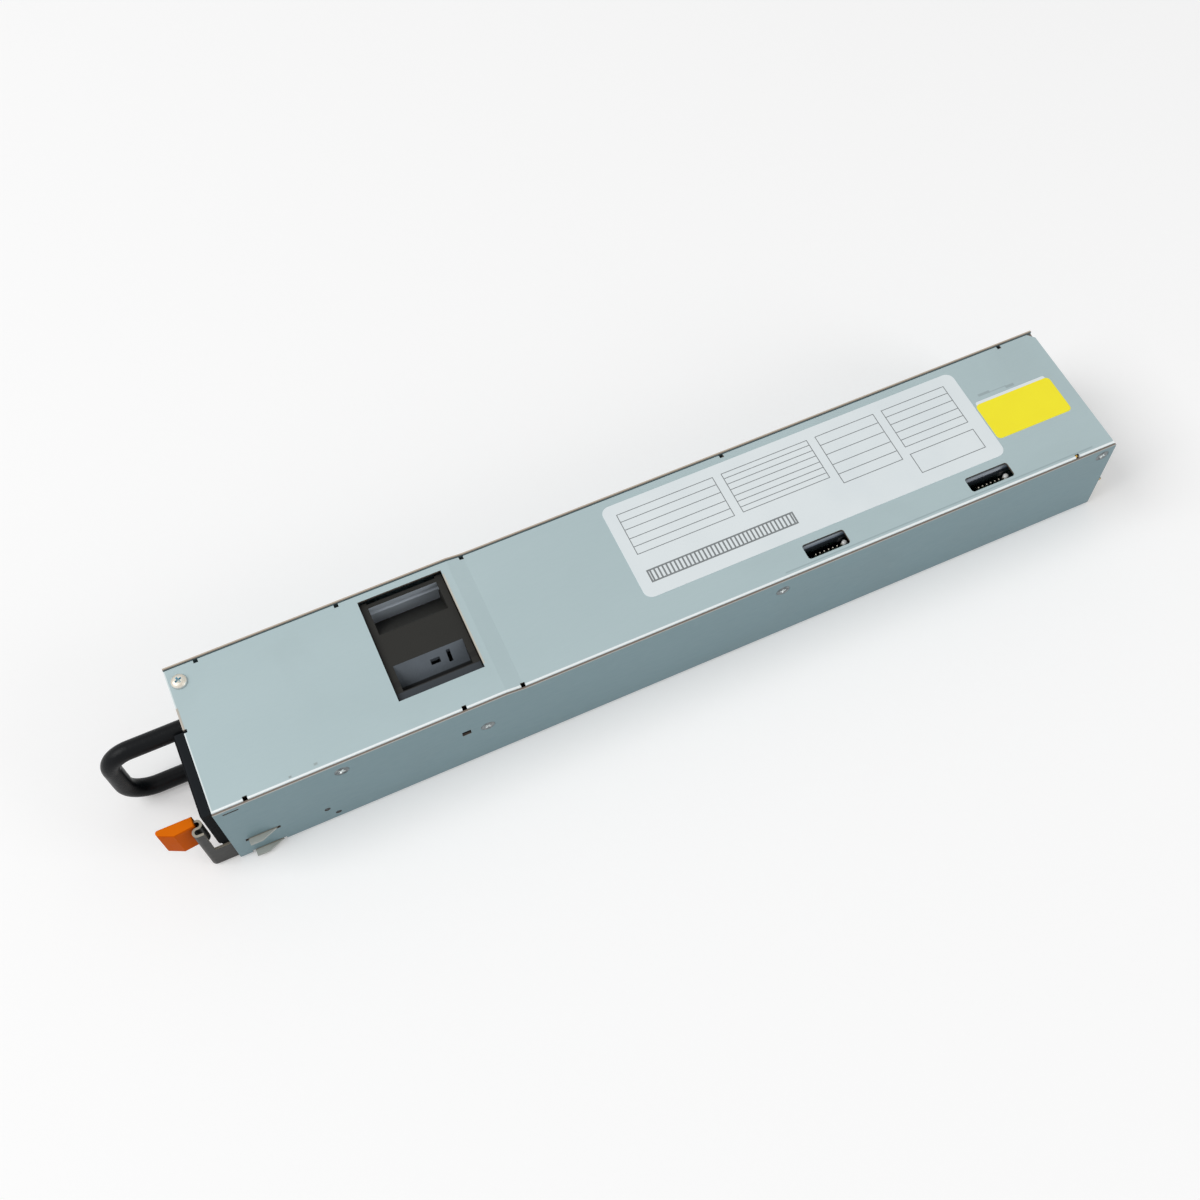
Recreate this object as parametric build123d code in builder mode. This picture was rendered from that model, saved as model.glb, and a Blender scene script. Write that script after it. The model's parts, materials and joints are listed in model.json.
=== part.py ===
from build123d import *
import os
from math import cos, radians, sin

os.makedirs("parts", exist_ok=True)

# A hot swap power supply for a server: a long sheet-steel tray with a stepped cover,
# a plastic bezel with the mains inlet, a pull handle and a sprung latch in front, and a
# circuit board whose gold edge leaves at the rear.
# Millimetres. X runs from the handle to the gold edge, Y from the latch side to the far
# side, Z up from the underside of the tray. The origin is the middle of the underside.

# Housing
length = 321.5
width = 54.5
height = 38.0
sheet = 0.8
bend = 0.4
fit_gap = 0.1
roof_drop = 0.8
roof_step_start = 96.45
roof_step_run = 5.8
cut_margin = 1.0

front = -length / 2
rear = length / 2
near = -width / 2
far = width / 2
inner_near = near + sheet
inner_far = far - sheet
floor_top = sheet
step_start = front + roof_step_start
step_end = step_start + roof_step_run
roof_front = height
roof_rear = height - roof_drop
ceiling_front = roof_front - sheet
ceiling_rear = roof_rear - sheet
near_face = Plane(origin=(0, near, 0), x_dir=(1, 0, 0), z_dir=(0, -1, 0))
far_face = Plane(origin=(0, far, 0), x_dir=(-1, 0, 0), z_dir=(0, 1, 0))

# Cover
cover_half = width / 2 - sheet - fit_gap
cover_flange = 11.0
cover_edge_radius = 0.6
flange_root = sheet - cover_edge_radius
relief = 1.5
near_reliefs = [front + 10.75, front + 82.35, front + 102.15, rear - 14.55]
far_reliefs = [front + 10.55, front + 57.95, front + 101.55, rear - 124.15, rear - 14.15]
slot_width = 5.8
slot_radius = 1.0
slot_y = near + 6.85
slot_places = [(rear - 108.5, 15.5), (rear - 46.0, 16.5)]
corner_cut = 2.6
front_nick = 1.2
front_nick_y = 3.3
slit_from_front = 5.2
slit_below_roof = 2.0
slit_length = 5.0
slit_height = 0.7
side_hole_from_front = 81.0
side_hole_below_roof = 15.0
side_hole_length = 3.0
side_hole_height = 2.6

# Fan, whose frame is as tall as the tray and shows in a window of the cover
fan_from_front = 64.85
fan_length = 28.4
lead_passage = 11.6
fan_wall_gap = 3.1
fan_below_roof = 1.8
fan_flange = 2.3
fan_wall = 1.5
fan_tip_gap = 0.5
window_gap_x = 0.3
window_gap_y = 0.25
window_lip = 5.0
lip_near_gap = 4.0
lip_far_gap = 1.6
blade_count = 7
blade_thick = 1.2
blade_chord = 19.0
blade_root_pitch = 52
blade_tip_pitch = 32
bracket_low = 13.0
bracket_below_ceiling = 2.0
bracket_foot = 4.0
bracket_foot_drop = 5.0
hub_radius = 9.5
hub_wall = 1.2
shaft_radius = 1.5
shaft_clearance = 0.05
bearing_wall = 1.6
stator_gap = 0.7
stator_slot = 1.4
stator_stack = 9.0
drum_wall = 0.65
fan_lip = 3.45
fan_lip_height = 2.0
fan_far_gap = 0.75
fan_wall_from_axis = 5.5
cable_from_ridge = 2.5
cable_hole = (fan_from_front + 15.6, 3.2, 1.35)
cable_slot = (fan_from_front + 20.4, 1.3, 3.0)
round_sides = 12
motor_plate = 1.6
arm_width = 2.0
bearing_share = 0.62
hub_plate_gap = 0.8
hub_rear_gap = 3.0
hub_edge = 1.0
shaft_plate_gap = 1.0
mount_hole_inset = 3.2
mount_hole_radius = 1.6

fan_front = front + fan_from_front
fan_rear = fan_front + fan_length
fan_top = roof_front - fan_below_roof
fan_near_side = inner_near + lead_passage
fan_far_side = inner_far - fan_wall_gap
fan_width = fan_far_side - fan_near_side
fan_y = (fan_near_side + fan_far_side) / 2
fan_height = fan_top - floor_top
fan_z = floor_top + fan_height / 2
bore_radius = min(fan_height, fan_width) / 2 - fan_wall
tip_radius = bore_radius - fan_tip_gap
window_front = fan_front - window_gap_x
window_rear = fan_rear + window_gap_x
window_near = fan_near_side - window_gap_y
window_far = fan_far_side + window_gap_y

# Front end
bezel_proud = 3.75
bezel_near_inset = 1.75
bezel_far = 4.0
bezel_top_inset = 1.5
bezel_back = 3.25
bezel_edge = 1.0
inlet_y = -10.5
inlet_width = 20.0
inlet_height = 27.0
inlet_depth = 21.0
inlet_proud = 0.2
socket_width = 16.6
socket_height = 24.6
socket_depth = 17.0
socket_chamfer = 4.5
blade_pitch = 7.0
blade_row = 2.0
blade_wide = 4.0
blade_thin = 2.0
blade_recess = 3.5
blade_tab = 6.0
blade_chamfer = 0.4
snap_rib_length = 3.0
snap_rib_proud = 0.6
snap_rib_low = 1.0
snap_rib_high = 11.0
light_y = 1.9
light_radius = 1.0
light_margin = 6.0
light_pitch = (height - 2 * light_margin) / 4
light_dome = 0.35
lamp_board_gap = 1.0
lamp_board_thick = 1.2
lamp_board_pitches = 2.4
lamp_board_past_bezel = 0.8
lamp_width = 1.6
lamp_height = 1.0
panel_recess = 0.4
panel_flange = 8.5
grille_flats = 2.9
grille_web = 0.6
grille_hole_gap = 0.4
panel_flange_low = 3.0
panel_flange_inset = 2.0

bezel_front = front - bezel_proud
bezel_near = near + bezel_near_inset
bezel_rear = front + bezel_back
inlet_z = (floor_top + ceiling_front) / 2
inlet_front = bezel_front - inlet_proud
inlet_rear = inlet_front + inlet_depth
panel_front = front + panel_recess
panel_rear = panel_front + sheet
panel_near = bezel_far + fit_gap
panel_far = inner_far - fit_gap

# Pull handle, a round bar bent to an upright loop
handle_y = 7.5
handle_reach = 26.0
handle_bar = 6.2
handle_low = 3.25
handle_high = height - 5.4
handle_bends = [8.0, 9.5]
handle_tenon = 1.9
handle_neck = 2.4

# Release latch, one strip of spring steel
latch_sheet = 0.8
latch_floor_gap = 0.3
latch_top = 12.2
latch_tall = 26.1
latch_hinge = 35.75
latch_reach = 8.85
latch_strip = 3.4
latch_return = 2.5
latch_tab_low = 15.0
latch_fold_back = 0.55
latch_tab_reach = 6.0
tooth_start = 5.25
tooth_flat = 4.0
tooth_length = 9.6
tooth_proud = 2.2
tooth_slack = 1.0
rivet_radius = 0.75
rivet_hole = 1.0
rivet_head = 0.6
rivets = [(front + 31.25, 9.5), (front + 34.15, 4.3)]
latch_travel = 5.0
button_low = 13.5
button_high = 27.0
button_edge = 0.9
button_grip = 1.6
button_length = 12.3
button_nose = 0.75
button_nose_rise = 1.9
button_wide = 3.5
button_face = 6.75

latch_low = floor_top + latch_floor_gap
latch_outer = inner_near + fit_gap
latch_inner = latch_outer + latch_sheet
latch_mid = latch_outer + latch_sheet / 2
latch_pivot = front + latch_hinge
latch_front = front - latch_reach
bezel_notch_y = latch_inner + (latch_pivot - bezel_front) * sin(radians(latch_travel)) + 0.4
bezel_notch_z = latch_top + 1.0

# Circuit board and its gold edge
board_thick = 1.6
board_stand = 3.4
board_side_gap = 1.45
board_after_fan = 5.5
edge_reach = 7.5
edge_shoulder = 2.4
edge_lead = 0.5
pad_thick = 0.1
pad_length = 6.4
key_width = 1.6
pad_gap = 0.6
key_near = 15.5
key_far = 12.0
board_setback = 2.2
standoff_shank = 2.1
standoff_inset = 4.6
standoff_by_fuse = 4.0
standoff_by_control = 7.0
fuse_length = 20.0
fuse_near = -5.0
control_before_slot = 18.0
control_after_slot = 12.0
standoff_hex = 2.8
standoff_bore = 1.35
board_hole = 1.6
board_screw_head = 2.6
board_screw_head_height = 1.5
board_screw_shank = 1.3
board_screw_gap = 1.0

board_half = width / 2 - sheet - board_side_gap
edge_half = board_half - edge_shoulder
control_from = slot_places[0][0] - control_before_slot
control_to = slot_places[1][0] + control_after_slot
board_low = floor_top + board_stand
board_top = board_low + board_thick
board_front = fan_rear + board_after_fan
board_end = rear + edge_reach
board_back = rear - board_setback
film_thick = 0.3
film_below_roof = 0.5
film_top = ceiling_rear - film_below_roof
room = film_top - film_thick - board_top

# Fasteners
screw_head = 2.5
screw_shank = 1.45
screw_hole = 1.65
screw_length = 2.4
side_screw_places = [(front + 40.35, height - 5.5), (front + 194.05, height - 7.1), (rear - 4.35, height - 5.0)]
fan_screw_place = (front + 88.25, height - 16.4)
top_screw_place = (front + 4.15, 20.5)
top_head = 3.1
top_head_height = 1.5

# Rear panel
rear_set_back = 0.2
vent_flats = 3.2
vent_web = 0.8
vent_low = 11.0
rear_flange = 11.0
rear_flange_clear = 2.0
edge_slot_gap = 0.5
vent_shift = 0.6
rear_outer = rear - rear_set_back
rear_inner = rear_outer - sheet


def save(part, name):
    part.label = name
    export_step(part, f"parts/{name}.step")


def on_face(plane, x, z):
    """A place on a side wall, from the row's own X and Z, looking outwards."""
    across = x if plane is near_face else -x
    return plane.location * Location((across, z, 0))


def block(x0, x1, y0, y1, z0, z1, mode=Mode.ADD):
    """An upright block between two corners, made from its plan."""
    with BuildSketch(Plane.XY.offset(z0)) as plan:
        with Locations(((x0 + x1) / 2, (y0 + y1) / 2)):
            Rectangle(x1 - x0, y1 - y0)
    extrude(plan.sketch, amount=z1 - z0, mode=mode)


# Tray: floor and side walls folded from one sheet
with BuildPart() as chassis_tray:
    with BuildSketch(Plane.YZ.offset(front)):
        Rectangle(width, height, align=(Align.CENTER, Align.MIN))
        with Locations((0, sheet)):
            Rectangle(width - 2 * sheet, height, align=(Align.CENTER, Align.MIN), mode=Mode.SUBTRACT)
    extrude(amount=length)
    fillet(chassis_tray.edges().filter_by(Axis.X).group_by(Axis.Z)[1], bend)
    fillet(chassis_tray.edges().filter_by(Axis.X).group_by(Axis.Z)[0], bend + sheet)
    with BuildSketch(Plane.XZ):
        with BuildLine():
            Polyline(
                (step_start, roof_front),
                (step_end, roof_rear),
                (rear + cut_margin, roof_rear),
                (rear + cut_margin, roof_front + cut_margin),
                (step_start, roof_front + cut_margin),
                close=True,
            )
        make_face()
    extrude(amount=width, both=True, mode=Mode.SUBTRACT)
    # Slit and notch that the two latch teeth come out through
    tooth_from = front + tooth_start - tooth_slack
    tooth_to = front + tooth_start + tooth_length + tooth_slack
    tooth_mid = (tooth_from + tooth_to) / 2
    with BuildSketch(near_face):
        with Locations((tooth_mid, latch_top - latch_sheet / 2)):
            Rectangle(tooth_to - tooth_from, latch_sheet + 2 * bend)
        with Locations((tooth_mid, (latch_low + latch_sheet + bend) / 2)):
            Rectangle(tooth_to - tooth_from, latch_low + latch_sheet + bend)
        for rivet_place in rivets:
            with Locations(rivet_place):
                Circle(rivet_hole)
        with Locations((front + side_hole_from_front, roof_front - side_hole_below_roof)):
            Rectangle(side_hole_length, side_hole_height)
        with Locations((front + slit_from_front, roof_front - slit_below_roof)):
            Rectangle(slit_length, slit_height)
    extrude(amount=-(sheet + fit_gap), mode=Mode.SUBTRACT)
    # Dimpled holes for the flush screws
    for wall_face in (near_face, far_face):
        for screw_x, screw_z in side_screw_places:
            with Locations(on_face(wall_face, screw_x, screw_z)):
                CounterSinkHole(screw_hole, screw_head + fit_gap, depth=2 * sheet, counter_sink_angle=100)
    with Locations(on_face(near_face, *fan_screw_place)):
        CounterSinkHole(screw_hole, screw_head + fit_gap, depth=2 * sheet, counter_sink_angle=100)
    # Holes in the floor that the board's standoffs are pressed into
    standoff_places = [
        (board_front + standoff_inset, board_half - standoff_inset),
        (board_front + standoff_inset, fuse_near - standoff_by_fuse),
        (control_from - standoff_by_control, standoff_inset - board_half),
        (board_back - standoff_inset, board_half - standoff_inset),
        (board_back - standoff_inset, standoff_inset - board_half),
    ]
    with BuildSketch(Plane.XY):
        with Locations(*standoff_places):
            Circle(standoff_shank)
    extrude(amount=floor_top, mode=Mode.SUBTRACT)
save(chassis_tray.part, "chassis_tray")

# Cover: stepped roof with folded edges, a window over the fan and two slots
with BuildPart() as top_cover:
    with BuildSketch(Plane.XZ):
        with BuildLine():
            Polyline(
                (front, roof_front),
                (step_start, roof_front),
                (step_end, roof_rear),
                (rear, roof_rear),
                (rear, ceiling_rear),
                (step_end, ceiling_rear),
                (step_start, ceiling_front),
                (front, ceiling_front),
                close=True,
            )
        make_face()
    extrude(amount=cover_half, both=True)
    roof_edges = top_cover.faces().filter_by(lambda face: face.normal_at().Z > 0.5).edges()
    fillet(roof_edges.filter_by(lambda edge: abs(edge.center().Y) > cover_half - fit_gap), cover_edge_radius)
    flange_runs = [
        (near_reliefs[0], near_reliefs[1], -1),
        (near_reliefs[2], near_reliefs[3], -1),
        (far_reliefs[0], far_reliefs[1], 1),
        (far_reliefs[2], far_reliefs[3], 1),
        (far_reliefs[3], far_reliefs[4], 1),
    ]
    for run_from, run_to, side in flange_runs:
        flange_low = ceiling_rear - cover_flange
        flange_high = ceiling_front if run_to < step_start else ceiling_rear
        y_edges = sorted((side * cover_half, side * (cover_half - sheet)))
        block(run_from + relief / 2, run_to - relief / 2, *y_edges, flange_low, flange_high + flange_root)
    with BuildSketch(Plane.XY.offset(roof_front)):
        for relief_x in near_reliefs:
            with Locations((relief_x, -cover_half + relief / 2)):
                Rectangle(relief, relief)
        for relief_x in far_reliefs:
            with Locations((relief_x, cover_half - relief / 2)):
                Rectangle(relief, relief)
        with Locations(((window_front + window_rear) / 2, (window_near + window_far) / 2)):
            Rectangle(window_rear - window_front, window_far - window_near)
        for slot_x, slot_length in slot_places:
            with Locations((slot_x, slot_y)):
                RectangleRounded(slot_length, slot_width, slot_radius)
        with Locations((front + front_nick / 2, front_nick_y)):
            Rectangle(front_nick, front_nick)
        with Locations(top_screw_place):
            Circle(screw_hole)
        with BuildLine():
            Polyline(
                (rear, cover_half - corner_cut),
                (rear, cover_half),
                (rear - corner_cut, cover_half),
                close=True,
            )
        make_face()
    extrude(amount=-(roof_drop + 2 * sheet), mode=Mode.SUBTRACT)
    # Lip turned down behind the fan
    block(
        window_rear,
        window_rear + sheet,
        window_near + lip_near_gap,
        window_far - lip_far_gap,
        ceiling_front - window_lip,
        ceiling_front + sheet / 2,
    )
    for wall_face in (near_face, far_face):
        for screw_x, screw_z in side_screw_places[:2]:
            with Locations(on_face(wall_face, screw_x, screw_z)):
                Hole(screw_shank + fit_gap, depth=4 * sheet)
save(top_cover.part, "top_cover")

# Front grille: the far half of the front, punched for the exhaust air
with BuildPart() as front_grille:
    block(panel_front, panel_rear, panel_near, panel_far, floor_top, ceiling_front)
    chamfer(front_grille.edges().filter_by(Axis.X).group_by(Axis.Z)[0].sort_by(Axis.Y)[-1], bend)
    block(panel_front, panel_front + panel_flange, panel_far - sheet, panel_far, panel_flange_low, ceiling_front)
    block(
        panel_front,
        panel_front + panel_flange,
        panel_near + panel_flange_inset,
        panel_far,
        ceiling_front - sheet,
        ceiling_front,
    )
    grille_cell = (grille_flats + grille_web) / 2
    grille_y = (handle_y + handle_bar / 2 + panel_far - sheet) / 2 + grille_hole_gap
    grille_room = panel_far - sheet - grille_web - handle_y - handle_bar / 2
    grille_columns = int(grille_room / (grille_cell * 3**0.5))
    grille_rows = int((ceiling_front - floor_top) / (2 * grille_cell)) - 1
    with BuildSketch(Plane(origin=(panel_front, grille_y, inlet_z), x_dir=(0, 0, 1), z_dir=(-1, 0, 0))):
        with HexLocations(grille_cell, grille_rows, grille_columns):
            RegularPolygon(grille_flats / 2, 6, major_radius=False, rotation=30)
    extrude(amount=-sheet, mode=Mode.SUBTRACT)
    with BuildSketch(Plane(origin=(panel_front, handle_y, 0), x_dir=(0, 1, 0), z_dir=(1, 0, 0))):
        with Locations((0, handle_low), (0, handle_high)):
            Circle(handle_tenon + fit_gap / 2)
    extrude(amount=sheet, mode=Mode.SUBTRACT)
    with BuildSketch(Plane.XY.offset(ceiling_front)):
        with Locations(top_screw_place):
            Circle(screw_shank + fit_gap)
    extrude(amount=-sheet, mode=Mode.SUBTRACT)
save(front_grille.part, "front_grille")

# Bezel: moulded frame round the inlet, notched low down for the latch
with BuildPart() as front_bezel:
    block(bezel_front, front, bezel_near, bezel_far, floor_top, ceiling_front - bezel_top_inset + sheet)
    fillet(front_bezel.faces().sort_by(Axis.X)[0].edges(), bezel_edge)
    block(front, bezel_rear, bezel_near, bezel_far, floor_top, ceiling_front)
    block(
        bezel_front - cut_margin,
        bezel_rear + cut_margin,
        near,
        bezel_notch_y,
        0,
        bezel_notch_z,
        mode=Mode.SUBTRACT,
    )
    with BuildSketch(Plane(origin=(bezel_front, 0, 0), x_dir=(0, 1, 0), z_dir=(1, 0, 0))):
        with Locations((inlet_y, inlet_z)):
            Rectangle(inlet_width + 2 * fit_gap, inlet_height + 2 * fit_gap)
        for light in (-1, 0, 1):
            with Locations((light_y, inlet_z + light * light_pitch)):
                Circle(light_radius + fit_gap / 2)
    extrude(amount=bezel_proud + bezel_back, mode=Mode.SUBTRACT)
    for rib_z in (inlet_z - 2 * light_pitch, inlet_z + 2 * light_pitch):
        block(
            bezel_rear,
            bezel_rear + lamp_board_gap,
            light_y - light_radius,
            bezel_far,
            rib_z - light_radius,
            rib_z + light_radius,
        )
save(front_bezel.part, "front_bezel")

# Mains inlet: socket with two cut corners, standing on its short side
with BuildPart() as ac_inlet:
    with BuildSketch(Plane(origin=(inlet_front, inlet_y, inlet_z), x_dir=(0, 1, 0), z_dir=(1, 0, 0))):
        Rectangle(inlet_width, inlet_height)
    extrude(amount=inlet_depth)
    with BuildSketch(Plane(origin=(inlet_front, inlet_y, inlet_z), x_dir=(0, 1, 0), z_dir=(1, 0, 0))) as socket:
        Rectangle(socket_width, socket_height)
        chamfer(socket.vertices().group_by(Axis.X)[0], socket_chamfer)
    extrude(amount=socket_depth, mode=Mode.SUBTRACT)
    blade_places = [
        (inlet_y + blade_row, inlet_z + blade_pitch),
        (inlet_y + blade_row, inlet_z - blade_pitch),
        (inlet_y - blade_row, inlet_z),
    ]
    with BuildSketch(Plane(origin=(inlet_rear, 0, 0), x_dir=(0, 1, 0), z_dir=(1, 0, 0))):
        with Locations(*blade_places):
            Rectangle(blade_wide, blade_thin)
    extrude(amount=-(inlet_depth - socket_depth), mode=Mode.SUBTRACT)
    # Side ribs that snap in behind the bezel
    for rib_side in (-1, 1):
        rib_y = inlet_y + rib_side * inlet_width / 2
        block(
            bezel_rear + fit_gap,
            bezel_rear + snap_rib_length,
            min(rib_y, rib_y + rib_side * snap_rib_proud),
            max(rib_y, rib_y + rib_side * snap_rib_proud),
            inlet_z + snap_rib_low,
            inlet_z + snap_rib_high,
        )
save(ac_inlet.part, "ac_inlet")

with BuildPart() as inlet_blades:
    with BuildSketch(Plane(origin=(inlet_front + blade_recess, 0, 0), x_dir=(0, 1, 0), z_dir=(1, 0, 0))):
        with Locations(*blade_places):
            Rectangle(blade_wide, blade_thin)
    extrude(amount=inlet_depth - blade_recess + blade_tab)
    blade_tips = inlet_blades.faces().group_by(Axis.X)[0].edges()
    chamfer(blade_tips, blade_chamfer)
save(inlet_blades.part, "inlet_blades")

# Light pipes, their lamps and the little board that carries them
lamp_front = bezel_rear + lamp_board_gap
light_heights = [inlet_z + light * light_pitch for light in (-1, 0, 1)]
with BuildPart() as status_lights:
    for light_z in light_heights:
        with BuildSketch(Plane(origin=(bezel_front, light_y, light_z), x_dir=(0, 1, 0), z_dir=(1, 0, 0))):
            Circle(light_radius)
        extrude(amount=lamp_front - lamp_height - bezel_front)
    chamfer(status_lights.edges().group_by(Axis.X)[0], light_dome)
save(status_lights.part, "status_lights")

with BuildPart() as lamp_board:
    block(
        lamp_front,
        lamp_front + lamp_board_thick,
        inlet_y + inlet_width / 2 + snap_rib_proud,
        bezel_far + lamp_board_past_bezel,
        inlet_z - lamp_board_pitches * light_pitch,
        inlet_z + lamp_board_pitches * light_pitch,
    )
save(lamp_board.part, "lamp_board")

with BuildPart() as status_lamps:
    for light_z in light_heights:
        block(
            lamp_front - lamp_height,
            lamp_front,
            light_y - lamp_width / 2,
            light_y + lamp_width / 2,
            light_z - lamp_height / 2,
            light_z + lamp_height / 2,
        )
save(status_lamps.part, "status_lamps")

# Handle: upright loop of round bar, with a tenon at each foot riveted in the grille
loop_x = front - handle_reach
with BuildPart() as pull_handle:
    with BuildLine(Plane.XZ.offset(-handle_y)) as loop:
        FilletPolyline(
            (front, handle_high),
            (loop_x, handle_high),
            (loop_x, handle_low),
            (front, handle_low),
            radius=handle_bends,
        )
    with BuildSketch(Plane(origin=loop.line @ 0, z_dir=loop.line % 0)):
        Circle(handle_bar / 2)
    sweep(path=loop.line)
    # Each foot: a neck up to the grille, a tenon through it and a riveted head behind
    foot_steps = [(front, panel_front, handle_neck), (panel_front, panel_rear, handle_tenon)]
    foot_steps.append((panel_rear, panel_rear + sheet, handle_neck))
    for step_from, step_to, step_radius in foot_steps:
        with BuildSketch(Plane(origin=(step_from, handle_y, 0), x_dir=(0, 1, 0), z_dir=(1, 0, 0))):
            with Locations((0, handle_low), (0, handle_high)):
                Circle(step_radius)
        extrude(amount=step_to - step_from)
save(pull_handle.part, "pull_handle")

# Latch: a flat web with two teeth, folded back on itself in front to carry the button
bend_front = latch_front + latch_sheet / 2 + latch_return / 2
return_mid = latch_mid + latch_return
tab_mid = return_mid + latch_return
tab_turn = bend_front + latch_fold_back
tab_front = latch_front - latch_tab_reach
with BuildPart() as release_latch:
    block(latch_front + latch_strip / 2, latch_pivot, latch_outer, latch_inner, latch_low, latch_top)
    # Upright strip and its fold, traced along the middle of the sheet
    with BuildSketch(Plane.XY.offset(latch_low)):
        with BuildLine():
            near_limb = Line((latch_front + latch_strip, latch_mid), (bend_front, latch_mid))
            first_fold = TangentArc((bend_front, latch_mid), (bend_front, return_mid), tangent=(-1, 0))
            Line((bend_front, return_mid), (tab_turn, return_mid))
        trace(line_width=latch_sheet)
    extrude(amount=latch_tall - latch_low)
    with BuildSketch(Plane.XY.offset(latch_tab_low)):
        with BuildLine():
            TangentArc((tab_turn, return_mid), (tab_turn, tab_mid), tangent=(1, 0))
            Line((tab_turn, tab_mid), (tab_front, tab_mid))
        trace(line_width=latch_sheet)
    extrude(amount=latch_tall - latch_tab_low)
    # Two teeth, turned out flat from the top and the bottom of the web
    tooth_front = front + tooth_start
    for tooth_low in (latch_low, latch_top - latch_sheet):
        with BuildSketch(Plane.XY.offset(tooth_low)):
            with BuildLine():
                Polyline(
                    (tooth_front, latch_inner),
                    (tooth_front, near - tooth_proud),
                    (tooth_front + tooth_flat, near - tooth_proud),
                    (tooth_front + tooth_length, near),
                    (tooth_front + tooth_length, latch_inner),
                    close=True,
                )
            make_face()
        extrude(amount=latch_sheet)
    with BuildSketch(near_face):
        with Locations(*rivets):
            Circle(rivet_radius)
    extrude(amount=-(latch_inner - near), mode=Mode.SUBTRACT)
save(release_latch.part, "release_latch")

with BuildPart() as latch_rivets:
    with BuildSketch(Plane(origin=(0, near + fit_gap, 0), x_dir=(1, 0, 0), z_dir=(0, 1, 0))):
        with Locations(*[(rivet_x, -rivet_z) for rivet_x, rivet_z in rivets]):
            Circle(rivet_radius)
    extrude(amount=latch_inner - near - fit_gap)
    with BuildSketch(Plane(origin=(0, latch_inner, 0), x_dir=(1, 0, 0), z_dir=(0, 1, 0))):
        with Locations(*[(rivet_x, -rivet_z) for rivet_x, rivet_z in rivets]):
            Circle(2 * rivet_radius)
    extrude(amount=rivet_head)
save(latch_rivets.part, "latch_rivets")

# Button: moulded thumb piece with a slanted nose and a slightly hollow face
button_back = latch_front + button_grip
button_far = tab_mid + button_wide / 2
button_near = tab_mid - button_wide / 2
with BuildPart() as release_button:
    with BuildSketch(Plane.XY.offset(button_low)):
        with BuildLine():
            Polyline(
                (button_back, button_near),
                (button_back, button_far),
                (button_back - button_length, button_far),
                (button_back - button_length + button_nose, button_far - button_nose_rise),
                (button_back - button_face, button_near - button_nose),
                close=True,
            )
        make_face()
    extrude(amount=button_high - button_low)
    fillet(release_button.edges().filter_by(Axis.Z).group_by(Axis.X)[0], button_edge)
    fillet(release_button.faces().sort_by(Axis.Z)[-1].edges(), button_edge / 2)
    block(
        tab_front,
        button_back + cut_margin,
        tab_mid - latch_sheet / 2,
        tab_mid + latch_sheet / 2,
        latch_tab_low,
        latch_tall,
        mode=Mode.SUBTRACT,
    )
save(release_button.part, "release_button")

# Fan frame: two square flanges, a drum between them, arms and a bearing tube
fan_plane = Plane(origin=(fan_front, fan_y, fan_z), x_dir=(0, 1, 0), z_dir=(1, 0, 0))
fan_back_plane = Plane(origin=(fan_rear - fan_flange, fan_y, fan_z), x_dir=(0, 1, 0), z_dir=(1, 0, 0))
bearing_radius = shaft_radius + bearing_wall
stator_radius = hub_radius - hub_wall - stator_gap
drum_reach = fan_width / 2 - fan_wall + fan_height / 2
drum_cut = min(drum_reach - 2**0.5 * (bore_radius + drum_wall), fan_height / 2 - fan_flange)
with BuildPart() as fan_frame:
    with BuildSketch(fan_plane):
        Rectangle(fan_width, fan_height)
    extrude(amount=fan_flange)
    with BuildSketch(fan_back_plane):
        Rectangle(fan_width, fan_height)
    extrude(amount=fan_flange)
    with BuildSketch(fan_plane) as drum:
        Rectangle(fan_width - 2 * fan_wall, fan_height)
        chamfer(drum.vertices(), drum_cut)
    extrude(amount=fan_length)
    # Side walls between the flanges; the near one has a lip on top, the far one stands inset
    wall_low = fan_z + fan_wall_from_axis
    block(fan_front, fan_rear, fan_near_side, fan_near_side + fan_wall, wall_low, fan_top)
    block(fan_front, fan_rear, fan_near_side, fan_near_side + fan_lip, fan_top - fan_lip_height, fan_top)
    far_wall = fan_far_side - fan_far_gap
    block(fan_front, fan_rear, far_wall - fan_wall, far_wall, wall_low, fan_top)
    with BuildSketch(fan_plane):
        Circle(bore_radius)
    extrude(amount=fan_length, mode=Mode.SUBTRACT)
    with BuildSketch(fan_plane):
        Circle(hub_radius)
        for arm in range(4):
            Rectangle(
                bore_radius + fan_wall / 2,
                arm_width,
                align=(Align.MIN, Align.CENTER),
                rotation=45 + 90 * arm,
            )
    extrude(amount=motor_plate)
    with BuildSketch(fan_plane):
        Circle(bearing_radius)
    extrude(amount=fan_length * bearing_share)
    with BuildSketch(fan_plane):
        Circle(shaft_radius + shaft_clearance)
    extrude(amount=fan_length, mode=Mode.SUBTRACT)
    # A hole and a slot for the fan's cable, through the near slope of the drum
    for place, along, across in (cable_hole, cable_slot):
        cable_y = fan_near_side + fan_wall + drum_cut - cable_from_ridge
        block(
            front + place - along / 2,
            front + place + along / 2,
            cable_y - across / 2,
            cable_y + across / 2,
            fan_z,
            fan_top + cut_margin,
            mode=Mode.SUBTRACT,
        )
    hole_y = fan_width / 2 - mount_hole_inset
    hole_z = fan_height / 2 - mount_hole_inset
    with BuildSketch(fan_plane):
        with Locations((hole_y, hole_z), (-hole_y, hole_z), (hole_y, -hole_z), (-hole_y, -hole_z)):
            Circle(mount_hole_radius)
    extrude(amount=fan_length, mode=Mode.SUBTRACT)
save(fan_frame.part, "fan_frame")

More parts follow.
